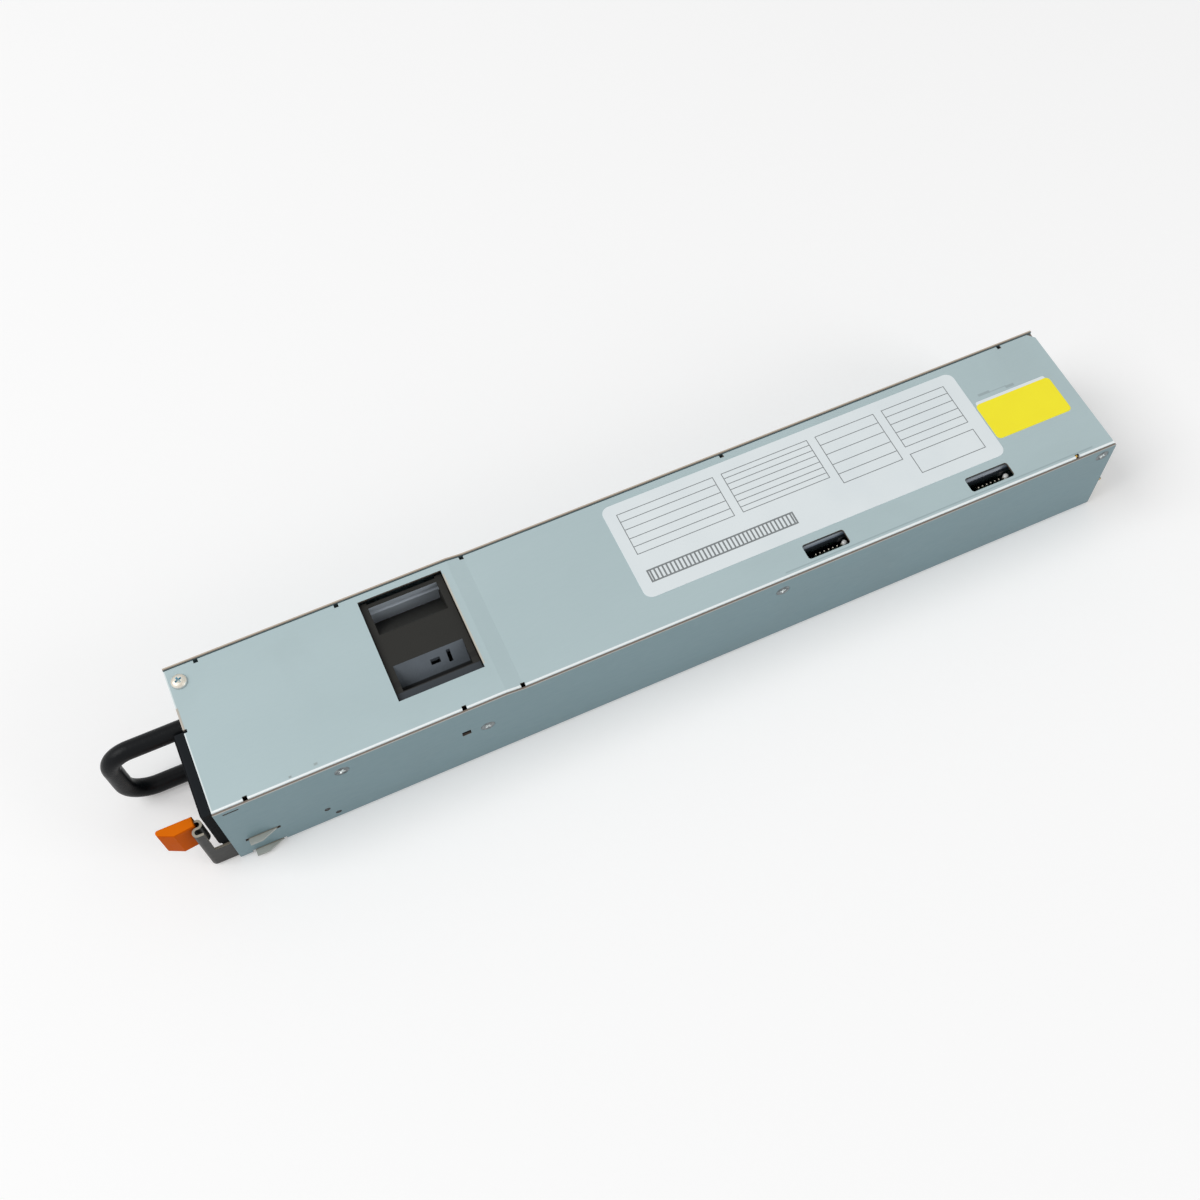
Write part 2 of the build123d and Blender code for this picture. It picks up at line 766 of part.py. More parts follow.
with BuildPart() as fan_stator:
    with BuildSketch(fan_plane.offset(motor_plate)):
        Circle(stator_radius)
        Circle(bearing_radius + fit_gap / 2, mode=Mode.SUBTRACT)
        with PolarLocations(stator_radius, 4):
            Rectangle(stator_radius * 0.5, stator_slot, mode=Mode.SUBTRACT)
        with PolarLocations(stator_radius * 0.66, 4):
            Rectangle(stator_radius * 0.3, 3 * stator_slot, mode=Mode.SUBTRACT)
    extrude(amount=stator_stack)
save(fan_stator.part, "fan_stator")

hub_back = fan_length - hub_rear_gap
hub_front = motor_plate + hub_plate_gap
with BuildPart() as fan_rotor:
    with BuildSketch(fan_plane.offset(hub_front)):
        Circle(hub_radius)
    extrude(amount=hub_back - hub_front)
    chamfer(fan_rotor.edges().filter_by(GeomType.CIRCLE).sort_by(Axis.X)[-1], hub_edge)
    with BuildSketch(fan_plane.offset(hub_front)):
        Circle(hub_radius - hub_wall)
    extrude(amount=hub_back - hub_front - 2 * hub_wall, mode=Mode.SUBTRACT)
    blade_middle = fan_front + (hub_front + hub_back) / 2
    for blade in range(blade_count):
        turn = radians(360 * blade / blade_count)
        for radius, pitch in ((hub_radius - hub_wall / 2, blade_root_pitch), (bore_radius, blade_tip_pitch)):
            blade_plane = Plane(
                origin=(blade_middle, fan_y + radius * cos(turn), fan_z + radius * sin(turn)),
                x_dir=(1, 0, 0),
                z_dir=(0, cos(turn), sin(turn)),
            )
            with BuildSketch(blade_plane):
                Rectangle(blade_chord, blade_thick, rotation=90 - pitch)
        loft()
    with BuildSketch(fan_plane):
        Circle(tip_radius)
    extrude(amount=fan_length, mode=Mode.INTERSECT)
    with BuildSketch(fan_plane):
        Circle(shaft_radius)
    extrude(amount=fan_length, mode=Mode.SUBTRACT)
save(fan_rotor.part, "fan_rotor")

with BuildPart() as fan_shaft:
    with BuildSketch(fan_plane.offset(motor_plate + shaft_plate_gap)):
        Circle(shaft_radius)
    extrude(amount=hub_back - motor_plate - shaft_plate_gap)
save(fan_shaft.part, "fan_shaft")

# Bracket that fills the gap beside the fan and holds it to the near wall
bracket_from = near_reliefs[1] + relief
bracket_top = ceiling_front - bracket_below_ceiling
bracket_reach = fan_near_side + bracket_foot
with BuildPart() as fan_bracket:
    block(bracket_from, fan_rear + sheet, -panel_far, sheet - panel_far, bracket_low, bracket_top)
    block(fan_rear, fan_rear + sheet, -panel_far, bracket_reach, bracket_low, bracket_top - bracket_foot_drop)
    with Locations(on_face(near_face, *fan_screw_place)):
        Hole(screw_shank + fit_gap, depth=4 * sheet)
save(fan_bracket.part, "fan_bracket")

# Rear panel: air intake holes over the slot for the gold edge
with BuildPart() as rear_panel:
    block(rear_inner, rear_outer, -panel_far, panel_far, floor_top, ceiling_rear)
    chamfer(rear_panel.edges().filter_by(Axis.X).group_by(Axis.Z)[0], bend)
    for side in (-1, 1):
        y_edges = sorted((side * panel_far, side * (panel_far - sheet)))
        block(rear_inner - rear_flange, rear_inner, *y_edges, board_top + rear_flange_clear, ceiling_rear)
    vent_cell = (vent_flats + vent_web) / 2
    vent_columns = int((panel_far - sheet - vent_web) / vent_cell) - 1
    vent_rows = int((ceiling_rear - vent_low) / (vent_cell * 3**0.5)) - 1
    rear_plane = Plane(origin=(rear_outer, 0, 0), x_dir=(0, 1, 0), z_dir=(1, 0, 0))
    with BuildSketch(rear_plane):
        with Locations((0, (board_low + board_top) / 2)):
            Rectangle(2 * (edge_half + edge_slot_gap), board_thick + 2 * edge_slot_gap)
        with Locations((0, (vent_low + ceiling_rear) / 2 - vent_shift)):
            with HexLocations(vent_cell, vent_columns, vent_rows):
                RegularPolygon(vent_flats / 2, 6, major_radius=False, rotation=30)
    extrude(amount=-sheet, mode=Mode.SUBTRACT)
    for wall_face in (near_face, far_face):
        screw_x, screw_z = side_screw_places[2]
        with Locations(on_face(wall_face, screw_x, screw_z)):
            Hole(screw_shank + fit_gap, depth=4 * sheet)
save(rear_panel.part, "rear_panel")

# Screws
with BuildPart() as side_screws:
    near_places = [on_face(near_face, *place) for place in side_screw_places + [fan_screw_place]]
    far_places = [on_face(far_face, *place) for place in side_screw_places]
    with Locations(*near_places, *far_places):
        Cylinder(screw_shank, screw_length, align=(Align.CENTER, Align.CENTER, Align.MAX))
        Cone(
            screw_hole - fit_gap,
            screw_head,
            sheet,
            align=(Align.CENTER, Align.CENTER, Align.MAX),
        )
save(side_screws.part, "side_screws")

with BuildPart() as top_screw:
    with BuildSketch(Plane.XY.offset(roof_front)):
        with Locations(top_screw_place):
            Circle(top_head)
    extrude(amount=top_head_height)
    chamfer(top_screw.edges().group_by(Axis.Z)[-1], top_head_height / 2)
    with BuildSketch(Plane.XY.offset(roof_front)):
        with Locations(top_screw_place):
            Circle(screw_shank)
    extrude(amount=-screw_length)
save(top_screw.part, "top_screw")

# Board, narrowed where it leaves through the rear panel
with BuildPart() as main_board:
    block(board_front, board_back, -board_half, board_half, board_low, board_top)
    block(board_back, board_end, -edge_half, edge_half, board_low, board_top)
    chamfer(main_board.faces().sort_by(Axis.X)[-1].edges().filter_by(Axis.Y), edge_lead)
    with BuildSketch(Plane.XY.offset(board_low)):
        with Locations(*standoff_places):
            Circle(board_hole)
        # Two keying notches split the edge into power, signal and power
        for key_y in (key_near - edge_half, edge_half - key_far):
            with Locations((board_end, key_y)):
                Rectangle(2 * pad_length, key_width)
    extrude(amount=board_thick, mode=Mode.SUBTRACT)
save(main_board.part, "main_board")

# Gold pads: wide ones for power on both outer thirds, narrow ones for signals between them
near_key = key_near - edge_half
far_key = edge_half - key_far
signal_pitch = 1.6
signal_from = near_key + key_width / 2 + signal_pitch
signal_count = int((far_key - key_width / 2 - signal_from) / signal_pitch)
near_pad = (key_near - key_width / 2) / 2 - pad_gap
far_pad = (key_far - key_width / 2) / 2 - pad_gap
pads = [(signal_from + signal_pitch * count, signal_pitch - pad_gap) for count in range(signal_count)]
for turn in (0, 1):
    pads.append((pad_gap / 2 - edge_half + near_pad / 2 + turn * (near_pad + pad_gap), near_pad))
    pads.append((edge_half - pad_gap / 2 - far_pad / 2 - turn * (far_pad + pad_gap), far_pad))
with BuildPart() as edge_contacts:
    pad_x = board_end - edge_lead - pad_length / 2
    for pad_face, pad_way in ((board_top, 1), (board_low, -1)):
        with BuildSketch(Plane.XY.offset(pad_face)):
            for pad_y, pad_width in pads:
                with Locations((pad_x, pad_y)):
                    Rectangle(pad_length, pad_width)
        extrude(amount=pad_way * pad_thick)
save(edge_contacts.part, "edge_contacts")

with BuildPart() as board_standoffs:
    with BuildSketch(Plane.XY):
        with Locations(*standoff_places):
            RegularPolygon(standoff_shank, round_sides)
    extrude(amount=floor_top)
    with BuildSketch(Plane.XY.offset(floor_top)):
        with Locations(*standoff_places):
            RegularPolygon(standoff_hex, 6)
    extrude(amount=board_stand)
    with BuildSketch(Plane.XY.offset(floor_top)):
        with Locations(*standoff_places):
            RegularPolygon(standoff_bore, round_sides)
    extrude(amount=board_stand, mode=Mode.SUBTRACT)
save(board_standoffs.part, "board_standoffs")

with BuildPart() as board_screws:
    with BuildSketch(Plane.XY.offset(board_top)):
        with Locations(*standoff_places):
            Circle(board_screw_head)
    extrude(amount=board_screw_head_height)
    with BuildSketch(Plane.XY.offset(board_top)):
        with Locations(*standoff_places):
            Circle(board_screw_shank)
    extrude(amount=-(board_thick + board_stand - board_screw_gap))
save(board_screws.part, "board_screws")

# Parts on the board. Each has a bay along X, a share of the board's length, and the bays
# follow one another from the fan to the rear with the same gap between them.
bay_gap = 3.0
bay_shares = {
    "terminal": 10.0,
    "choke": 11.4,
    "film": 10.0,
    "relay": 12.0,
    "booster": 14.4,
    "bulk": 46.0,
    "transformer": 28.0,
    "standby": 14.0,
    "rectifier": 19.0,
    "output": 21.0,
}
bay_ends = 1.0
bay_room = board_back - board_front - 2 * bay_ends - bay_gap * (len(bay_shares) - 1)
bay_unit = bay_room / sum(bay_shares.values())
bays = {}
bay_from = board_front + bay_ends
for bay_name, share in bay_shares.items():
    bays[bay_name] = (bay_from, bay_from + share * bay_unit)
    bay_from += share * bay_unit + bay_gap

# Terminal block on the near side, with the three mains leads
terminal_half = 4.3
terminal_height = 12.0
terminal_edge = 0.8
lead_radius = 1.1
lead_pitch = 2.9
lead_rise = 4.2
lead_bend = 6.0
lead_run = 7.0
lead_straight = 9.0
terminal_from, terminal_to = bays["terminal"]
terminal_y = (inner_near + fan_near_side) / 2
with BuildPart() as ac_terminal:
    block(
        terminal_from,
        terminal_to,
        terminal_y - terminal_half,
        terminal_y + terminal_half,
        board_top,
        board_top + terminal_height,
    )
    fillet(ac_terminal.edges().filter_by(Axis.Z), terminal_edge)
    lead_places = [(terminal_y + step * lead_pitch, board_top + lead_rise) for step in (-1, 0, 1)]
    with BuildSketch(Plane(origin=(terminal_from, 0, 0), x_dir=(0, 1, 0), z_dir=(1, 0, 0))):
        with Locations(*lead_places):
            Circle(lead_radius + fit_gap)
    extrude(amount=(terminal_to - terminal_from) / 2, mode=Mode.SUBTRACT)
save(ac_terminal.part, "ac_terminal")

# The leads run from the inlet's tabs to the terminal, past the near side of the fan
tab_end = inlet_rear + blade_tab
with BuildPart() as ac_leads:
    lead_ends = sorted(blade_places, key=lambda place: place[0] + place[1] / width)
    for (tab_y, tab_z), (lead_y, lead_z) in zip(lead_ends, lead_places):
        with BuildLine() as lead:
            FilletPolyline(
                (tab_end, tab_y, tab_z),
                (tab_end + lead_run, tab_y, tab_z),
                (fan_front - lead_straight, lead_y, lead_z),
                (terminal_from + 2 * lead_radius, lead_y, lead_z),
                radius=lead_bend,
            )
        with BuildSketch(Plane(origin=lead.line @ 0, z_dir=lead.line % 0)):
            RegularPolygon(lead_radius, round_sides)
        sweep(path=lead.line)
save(ac_leads.part, "ac_leads")

# Fuse across the board beside the terminal, in two clips
fuse_radius = 2.8
fuse_cap = 4.0
fuse_rise = 1.2
fuse_x = (terminal_from + terminal_to) / 2
clip_half = fuse_radius * 0.7
with BuildPart() as fuse:
    with BuildSketch(Plane.XZ.offset(-fuse_near)):
        with Locations((fuse_x, board_top + fuse_radius + fuse_rise)):
            Circle(fuse_radius)
    extrude(amount=-fuse_length)
    for clip_y in (fuse_near, fuse_near + fuse_length - fuse_cap):
        block(
            fuse_x - clip_half,
            fuse_x + clip_half,
            clip_y,
            clip_y + fuse_cap,
            board_top,
            board_top + fuse_radius,
        )
save(fuse.part, "fuse")

# Ring cores standing on edge, each with a thick winding over most of it
wire = 2.2
wire_edge = 0.9
ring_lift = 0.2


def toroid(centre_x, centre_y, ring, hole, thick, unwound):
    """A standing ring core and its winding, with a gap of the given width at the top."""
    ring_z = board_top + ring + wire
    ring_plane = Plane(origin=(centre_x, centre_y, ring_z), x_dir=(0, 1, 0), z_dir=(1, 0, 0))
    with BuildPart() as core:
        with BuildSketch(ring_plane):
            RegularPolygon(ring, 2 * round_sides)
            RegularPolygon(hole, 2 * round_sides, mode=Mode.SUBTRACT)
        extrude(amount=thick / 2, both=True)
    with BuildPart() as winding:
        with BuildSketch(ring_plane):
            RegularPolygon(ring + wire, 2 * round_sides)
            RegularPolygon(hole - wire, 2 * round_sides, mode=Mode.SUBTRACT)
        extrude(amount=thick / 2 + wire, both=True)
        for rim in (winding.edges().group_by(Axis.X)[0], winding.edges().group_by(Axis.X)[-1]):
            chamfer(rim, wire_edge)
        with BuildSketch(ring_plane):
            RegularPolygon(ring + fit_gap, 2 * round_sides)
            RegularPolygon(hole - fit_gap, 2 * round_sides, mode=Mode.SUBTRACT)
        extrude(amount=thick / 2 + fit_gap, both=True, mode=Mode.SUBTRACT)
        # The wire leaves a gap at the top, where its two ends come away
        with BuildSketch(ring_plane):
            with Locations((0, ring)):
                Rectangle(unwound, 2 * ring)
        extrude(amount=thick, both=True, mode=Mode.SUBTRACT)
    return core.part, winding.part


emi_hole_share = 0.52
emi_unwound_share = 0.5
choke_from, choke_to = bays["choke"]
emi_thick = choke_to - choke_from - 2 * wire
emi_ring = min(room / 2, board_half / 2 - bay_gap / 2) - wire - ring_lift
emi_hole = emi_ring * emi_hole_share
emi_x = (choke_from + choke_to) / 2
emi_parts = [toroid(emi_x, side * board_half / 2, emi_ring, emi_hole, emi_thick, emi_ring * emi_unwound_share) for side in (-1, 1)]
with BuildPart() as emi_choke_cores:
    for core_solid, winding_solid in emi_parts:
        add(core_solid)
save(emi_choke_cores.part, "emi_choke_cores")
with BuildPart() as emi_choke_windings:
    for core_solid, winding_solid in emi_parts:
        add(winding_solid)
save(emi_choke_windings.part, "emi_choke_windings")

film_cap_share = 0.62
film_cap_edge = 1.0
film_cap_from, film_cap_to = bays["film"]
with BuildPart() as film_capacitors:
    for side in (-1, 1):
        edge_ys = sorted((side * bay_gap / 2, side * (board_half - bay_gap / 2)))
        block(film_cap_from, film_cap_to, *edge_ys, board_top, board_top + room * film_cap_share)
    fillet(film_capacitors.edges().filter_by(Axis.Z), film_cap_edge)
save(film_capacitors.part, "film_capacitors")

relay_width = 20.0
relay_height = 15.5
relay_from, relay_to = bays["relay"]
relay_near = standoff_inset + board_screw_head + bay_gap / 2 - board_half
with BuildPart() as inrush_relay:
    block(relay_from, relay_to, relay_near, relay_near + relay_width, board_top, board_top + relay_height)
    fillet(inrush_relay.edges().filter_by(Axis.Z), terminal_edge)
save(inrush_relay.part, "inrush_relay")

# Lanes along the board: a control board at the near wall, a heatsink at the far wall with
# the power devices on it, and the tall parts between them
control_inset = 3.3
control_thick = 1.2
chip_thick = 1.4
sink_wall = 2.2
fin_reach = 4.4
fin_thick = 1.2
fin_count = 5
sink_inset = 0.9
device_thick = 4.6
lane_gap = 0.6
film_gap = 0.3
control_y = control_inset - board_half
chips_y = control_y + control_thick / 2 + chip_thick
film_near = chips_y + lane_gap + film_thick
film_far = board_half - film_gap
sink_far = film_far - film_gap - film_thick
far_lane = sink_far - fin_reach - sink_wall
lane_near = film_near + film_thick + lane_gap
lane_far = far_lane - device_thick - lane_gap
middle_y = (lane_near + lane_far) / 2
middle_half = (lane_far - lane_near) / 2

pfc_hole_share = 0.48
pfc_unwound_share = 0.4
booster_from, booster_to = bays["booster"]
pfc_ring = min(room / 2 - ring_lift, middle_half) - wire
pfc_hole = pfc_ring * pfc_hole_share
pfc_thick = booster_to - booster_from - 2 * wire
pfc_x = (booster_from + booster_to) / 2
pfc_core, pfc_winding = toroid(pfc_x, middle_y, pfc_ring, pfc_hole, pfc_thick, pfc_ring * pfc_unwound_share)
save(pfc_core, "pfc_choke_core")
save(pfc_winding, "pfc_choke_winding")

bulk_lift = 1.0
bulk_neck_from = 4.0
bulk_neck = 0.9
bulk_from, bulk_to = bays["bulk"]
bulk_radius = min(room / 2 - bulk_lift, middle_half)
with BuildPart() as bulk_capacitor:
    bulk_axis = (bulk_from, middle_y, board_top + bulk_radius)
    with BuildSketch(Plane(origin=bulk_axis, x_dir=(1, 0, 0), z_dir=(0, -1, 0))):
        with BuildLine():
            Polyline(
                (0, 0),
                (0, bulk_radius),
                (bulk_neck_from, bulk_radius),
                (bulk_neck_from + bulk_neck, bulk_radius - bulk_neck),
                (bulk_neck_from + 2 * bulk_neck, bulk_radius),
                (bulk_to - bulk_from, bulk_radius),
                (bulk_to - bulk_from, 0),
                close=True,
            )
        make_face()
    revolve(axis=Axis(bulk_axis, (1, 0, 0)))
save(bulk_capacitor.part, "bulk_capacitor")

sink_below_film = 1.5
sink_from = relay_from
sink_top = board_top + room - sink_below_film
with BuildPart() as primary_heatsink:
    block(sink_from, bulk_to, far_lane, far_lane + sink_wall, board_top, sink_top)
    fin_step = (sink_top - board_top - fin_thick) / (fin_count - 1)
    for fin in range(fin_count):
        fin_low = board_top + fin * fin_step
        block(sink_from, bulk_to, far_lane + sink_wall, sink_far, fin_low, fin_low + fin_thick)
save(primary_heatsink.part, "primary_heatsink")

# Four power devices clamped to the heatsink, each on three legs
device_count = 4
device_width = 15.6
device_lift = 4.0
device_below_top = 4.3
leg_pitch = 5.0
leg_width = 1.2
leg_thick = 0.6
device_low = board_top + device_lift
device_pitch = (bulk_to - sink_from) / device_count
device_half = min(device_width, device_pitch - leg_width) / 2
leg_y = far_lane - device_thick / 2
with BuildPart() as power_devices:
    for count in range(device_count):
        device_x = sink_from + (count + 0.5) * device_pitch
        block(
            device_x - device_half,
            device_x + device_half,
            far_lane - device_thick,
            far_lane,
            device_low,
            sink_top - device_below_top,
        )
        for step in (-1, 0, 1):
            leg_x = device_x + step * min(leg_pitch, device_half - leg_width)
            block(
                leg_x - leg_width / 2,
                leg_x + leg_width / 2,
                leg_y - leg_thick / 2,
                leg_y + leg_thick / 2,
                board_top,
                device_low,
            )
save(power_devices.part, "power_devices")

# Transformers: an upright double-E core with its bobbin in the windows
def transformer(bay, half_wide, tall, limb, centre_limb, overhang):
    """The core and the winding of one transformer, between the control board and the far wall."""
    middle_x = (bay[0] + bay[1]) / 2
    centre_y = (lane_near + sink_far) / 2
    depth = bay[1] - bay[0] - 2 * overhang
    window_wide = half_wide - limb - centre_limb / 2
    window_y = (window_wide + centre_limb) / 2
    core_place = Plane(
        origin=(middle_x - depth / 2, centre_y, board_top + tall / 2), x_dir=(0, 1, 0), z_dir=(1, 0, 0)
    )
    with BuildPart() as core:
        with BuildSketch(core_place):
            Rectangle(2 * half_wide, tall)
            with Locations((window_y, 0), (-window_y, 0)):
                Rectangle(window_wide, tall - 2 * limb, mode=Mode.SUBTRACT)
        extrude(amount=depth)
    with BuildPart() as winding:
        with BuildSketch(Plane.XY.offset(board_top + limb + fit_gap)):
            with Locations((middle_x, centre_y)):
                RectangleRounded(bay[1] - bay[0], centre_limb + 2 * (window_wide - lane_gap), overhang / 2)
                Rectangle(depth + 2 * fit_gap, centre_limb + 2 * fit_gap, mode=Mode.SUBTRACT)
        extrude(amount=tall - 2 * (limb + fit_gap))
    return core.part, winding.part


core_wide = 31.0
core_below_film = 3.2
core_limb = 5.0
centre_limb = 9.0
core_overhang = 5.5
core_half = min(core_wide, sink_far - lane_near) / 2
main_core, main_winding = transformer(
    bays["transformer"], core_half, room - core_below_film, core_limb, centre_limb, core_overhang
)
save(main_core, "transformer_core")
save(main_winding, "transformer_winding")

standby_half = 9.0
standby_share = 0.6
standby_limb = 3.0
standby_centre = 5.0
standby_overhang = 3.0
standby_core, standby_winding = transformer(
    bays["standby"], standby_half, room * standby_share, standby_limb, standby_centre, standby_overhang
)
save(standby_core, "standby_core")
save(standby_winding, "standby_winding")

# Output end: a finned block over the rectifiers, then the low capacitors
base_thick = 3.0
base_half = board_half - 9.0
block_fins = 7
block_below_film = 4.0
rectifier_from, rectifier_to = bays["rectifier"]
with BuildPart() as output_heatsink:
    block(rectifier_from, rectifier_to, -base_half, base_half, board_top, board_top + base_thick)
    fin_pitch = (2 * base_half - fin_thick) / (block_fins - 1)
    for fin in range(block_fins):
        fin_y = fin * fin_pitch - base_half
        fin_top = board_top + room - block_below_film
        block(rectifier_from, rectifier_to, fin_y, fin_y + fin_thick, board_top + base_thick, fin_top)
save(output_heatsink.part, "output_heatsink")

cap_radius = 4.0
cap_space = 1.0
cap_pitch = 2 * cap_radius + cap_space
cap_height = 11.5
cap_edge = 0.6
output_from, output_to = bays["output"]
cap_rows = int((output_to - output_from) / cap_pitch)
caps_wide = 2 * (board_half - standoff_inset - board_screw_head)
cap_columns = int((caps_wide + cap_pitch - 2 * cap_radius) / cap_pitch)
with BuildPart() as output_capacitors:
    with BuildSketch(Plane.XY.offset(board_top)):
        with Locations(((output_from + output_to) / 2, 0)):
            with GridLocations(cap_pitch, cap_pitch, cap_rows, cap_columns):
                RegularPolygon(cap_radius, 2 * round_sides)
    extrude(amount=cap_height)
    chamfer(output_capacitors.edges().group_by(Axis.Z)[-1], cap_edge)
save(output_capacitors.part, "output_capacitors")

# Control board on edge along the near side, under the two slots of the cover
control_below_film = 5.5
chip_count = 9
chip_length = 5.0
chip_height = 6.0
chip_from = 5.0
chip_step = 4.0
chip_levels = 3
with BuildPart() as control_board:
    block(
        control_from,
        control_to,
        control_y - control_thick / 2,
        control_y + control_thick / 2,
        board_top,
        board_top + room - control_below_film,
    )
save(control_board.part, "control_board")
with BuildPart() as control_parts:
    chip_pitch = (control_to - control_from) / chip_count
    for count in range(chip_count):
        chip_x = control_from + (count + 0.5) * chip_pitch
        chip_low = board_top + chip_from + chip_step * (count % chip_levels)
        block(
            chip_x - chip_length / 2,
            chip_x + chip_length / 2,
            control_y + control_thick / 2,
            chips_y,
            chip_low,
            chip_low + chip_height,
        )
save(control_parts.part, "control_parts")

# Insulating film between the parts and the cover, folded down on both sides
film_leg_lift = 12.0
film_fold = 2.5
film_end_gap = 6.0
film_from = booster_from - bay_gap / 2
film_to = board_back - film_end_gap
with BuildPart() as insulating_film:
    with BuildSketch(Plane.YZ.offset(film_from)):
        with BuildLine():
            FilletPolyline(
                (film_near, board_top + film_leg_lift),
                (film_near, film_top - film_thick / 2),
                (film_far, film_top - film_thick / 2),
                (film_far, board_top + film_leg_lift),
                radius=film_fold,
            )
        trace(line_width=film_thick)
    extrude(amount=film_to - film_from)
save(insulating_film.part, "insulating_film")
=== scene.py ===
# %% [markdown]
# The object is a long, narrow power supply that slides into a server: a folded steel case with a
# fan window, a black front end with a pull handle, and a sprung latch with an orange button.
# Its solids were measured and packed before, so Blender only has to dress them. They are loaded
# as they are and never moved, because every new piece is placed from them.

# %% Load the measured frame
import json
import math

import bmesh
import bpy
from mathutils import Matrix, Vector


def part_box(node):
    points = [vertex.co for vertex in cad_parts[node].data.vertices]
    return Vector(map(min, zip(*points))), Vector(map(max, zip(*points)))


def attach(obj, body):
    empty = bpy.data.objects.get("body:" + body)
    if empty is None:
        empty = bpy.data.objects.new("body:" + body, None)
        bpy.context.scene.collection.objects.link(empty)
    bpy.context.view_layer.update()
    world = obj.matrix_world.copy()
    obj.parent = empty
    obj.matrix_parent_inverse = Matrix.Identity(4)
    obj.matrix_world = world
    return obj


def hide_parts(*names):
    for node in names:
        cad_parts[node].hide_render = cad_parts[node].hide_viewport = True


MM = 0.001
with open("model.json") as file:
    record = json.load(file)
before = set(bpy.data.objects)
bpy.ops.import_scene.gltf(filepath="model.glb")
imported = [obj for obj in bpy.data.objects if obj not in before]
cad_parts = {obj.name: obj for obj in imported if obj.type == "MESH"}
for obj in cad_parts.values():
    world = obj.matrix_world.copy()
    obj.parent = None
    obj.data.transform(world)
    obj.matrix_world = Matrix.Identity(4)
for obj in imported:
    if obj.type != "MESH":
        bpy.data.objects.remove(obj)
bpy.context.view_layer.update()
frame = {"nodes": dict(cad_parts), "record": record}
slots = {part["node"]: part["material_slot"] for part in frame["record"]["subparts"]}

# %% [markdown]
# The photograph's camera was worked out from the straight edges of the case. A camera in Blender
# looks along its own -Z with +Y up, so the three directions that were found become the columns
# of its matrix. A lens in millimetres on a 36 mm sensor gives the same angle of view.

# %% Camera
view_right = Vector((0.911216, -0.411532, -0.018103))
view_down = Vector((-0.369256, -0.796551, -0.478704))
view_ahead = Vector((0.182582, 0.442887, -0.877790))
camera_place = Vector((-0.11102, -0.21895, 0.45502))
camera_data = bpy.data.cameras.new("photo_camera")
camera_data.lens = 44.052
camera_data.sensor_width = 36.0
camera_data.sensor_fit = "HORIZONTAL"
camera_data.clip_start = 0.01
camera = bpy.data.objects.new("photo_camera", camera_data)
camera_turn = Matrix((view_right, -view_down, -view_ahead)).transposed()
camera.matrix_world = Matrix.Translation(camera_place) @ camera_turn.to_4x4()
bpy.context.scene.collection.objects.link(camera)
bpy.context.scene.camera = camera
print("camera at", [round(value, 3) for value in camera_place])

# %% [markdown]
# Materials are trees of nodes. Writing each node out takes many lines, so these helpers add one
# node and feed it: a feed may be a number, a colour, or another node's output. Colours are given
# as screen values and turned into the linear values that shaders work in.

# %% Helpers for node trees


def tone(red, green, blue):
    """A screen colour from 0 to 255 as the linear colour of a shader."""
    shares = [value / 255 for value in (red, green, blue)]
    linear = [s / 12.92 if s <= 0.04045 else ((s + 0.055) / 1.055) ** 2.4 for s in shares]
    return (*linear, 1.0)


def put(tree, kind, feeds=None, **settings):
    """Adds a node, with its settings and with what feeds its inputs."""
    node = tree.nodes.new(kind)
    for key, value in settings.items():
        setattr(node, key, value)
    for key, value in (feeds or {}).items():
        if isinstance(value, bpy.types.NodeSocket):
            tree.links.new(value, node.inputs[key])
        else:
            node.inputs[key].default_value = value
    return node


def sum_up(tree, operation, first, second=0.0):
    """The output of one Math node."""
    return put(tree, "ShaderNodeMath", {0: first, 1: second}, operation=operation).outputs[0]


def times(tree, first, second):
    """Two values multiplied."""
    return sum_up(tree, "MULTIPLY", first, second)


def sum_up_vectors(tree, operation, first, second=(0.0, 0.0, 0.0)):
    """The output of one Vector Math node."""
    node = put(tree, "ShaderNodeVectorMath", {0: first, 1: second}, operation=operation)
    return node.outputs["Value" if operation == "DOT_PRODUCT" else "Vector"]


def axes_of(tree, vector):
    """The three outputs X, Y and Z of a vector."""
    return put(tree, "ShaderNodeSeparateXYZ", {0: vector}).outputs


def blend_tones(tree, share, first, second):
    """The colour between two others."""
    return put(tree, "ShaderNodeMix", {0: share, 6: first, 7: second}, data_type="RGBA").outputs[2]


def spread(tree, value, low, high, to_low=0.0, to_high=1.0):
    """A value stretched from one range to another, and kept inside it."""
    feeds = {0: value, 1: low, 2: high, 3: to_low, 4: to_high}
    return put(tree, "ShaderNodeMapRange", feeds).outputs[0]


def object_place(tree):
    """A point's place on its own object, in metres."""
    return put(tree, "ShaderNodeTexCoord").outputs["Object"]


def face_direction(tree):
    """The way a face looks, on its own object."""
    return put(tree, "ShaderNodeTexCoord").outputs["Normal"]


print("helpers ready")

# %% [markdown]
# Plain paper and a soft studio would show the case well. The floor is a large pale sheet that
# keeps the object's shadow, and glows a little for the camera and in reflections, so that it
# comes out nearly white without more light on the object. The world does the same behind it.

# %% Floor
floor_half = 4.0
floor_gap = 0.0002
square_corners = ((-1, -1), (1, -1), (1, 1), (-1, 1))
floor_points = [(x * floor_half, y * floor_half, -floor_gap) for x, y in square_corners]
floor_mesh = bpy.data.meshes.new("floor")
floor_mesh.from_pydata(floor_points, [], [(0, 1, 2, 3)])
floor = bpy.data.objects.new("floor", floor_mesh)
bpy.context.scene.collection.objects.link(floor)
print("floor side in metres:", 2 * floor_half)

# %% Paper and world


def seen_directly(tree):
    """1 for what the camera, a reflection or clear plastic sees, and 0 for light on the object."""
    path = put(tree, "ShaderNodeLightPath").outputs
    seen = sum_up(tree, "MAXIMUM", path["Is Camera Ray"], path["Is Glossy Ray"])
    return sum_up(tree, "MAXIMUM", seen, path["Is Transmission Ray"])


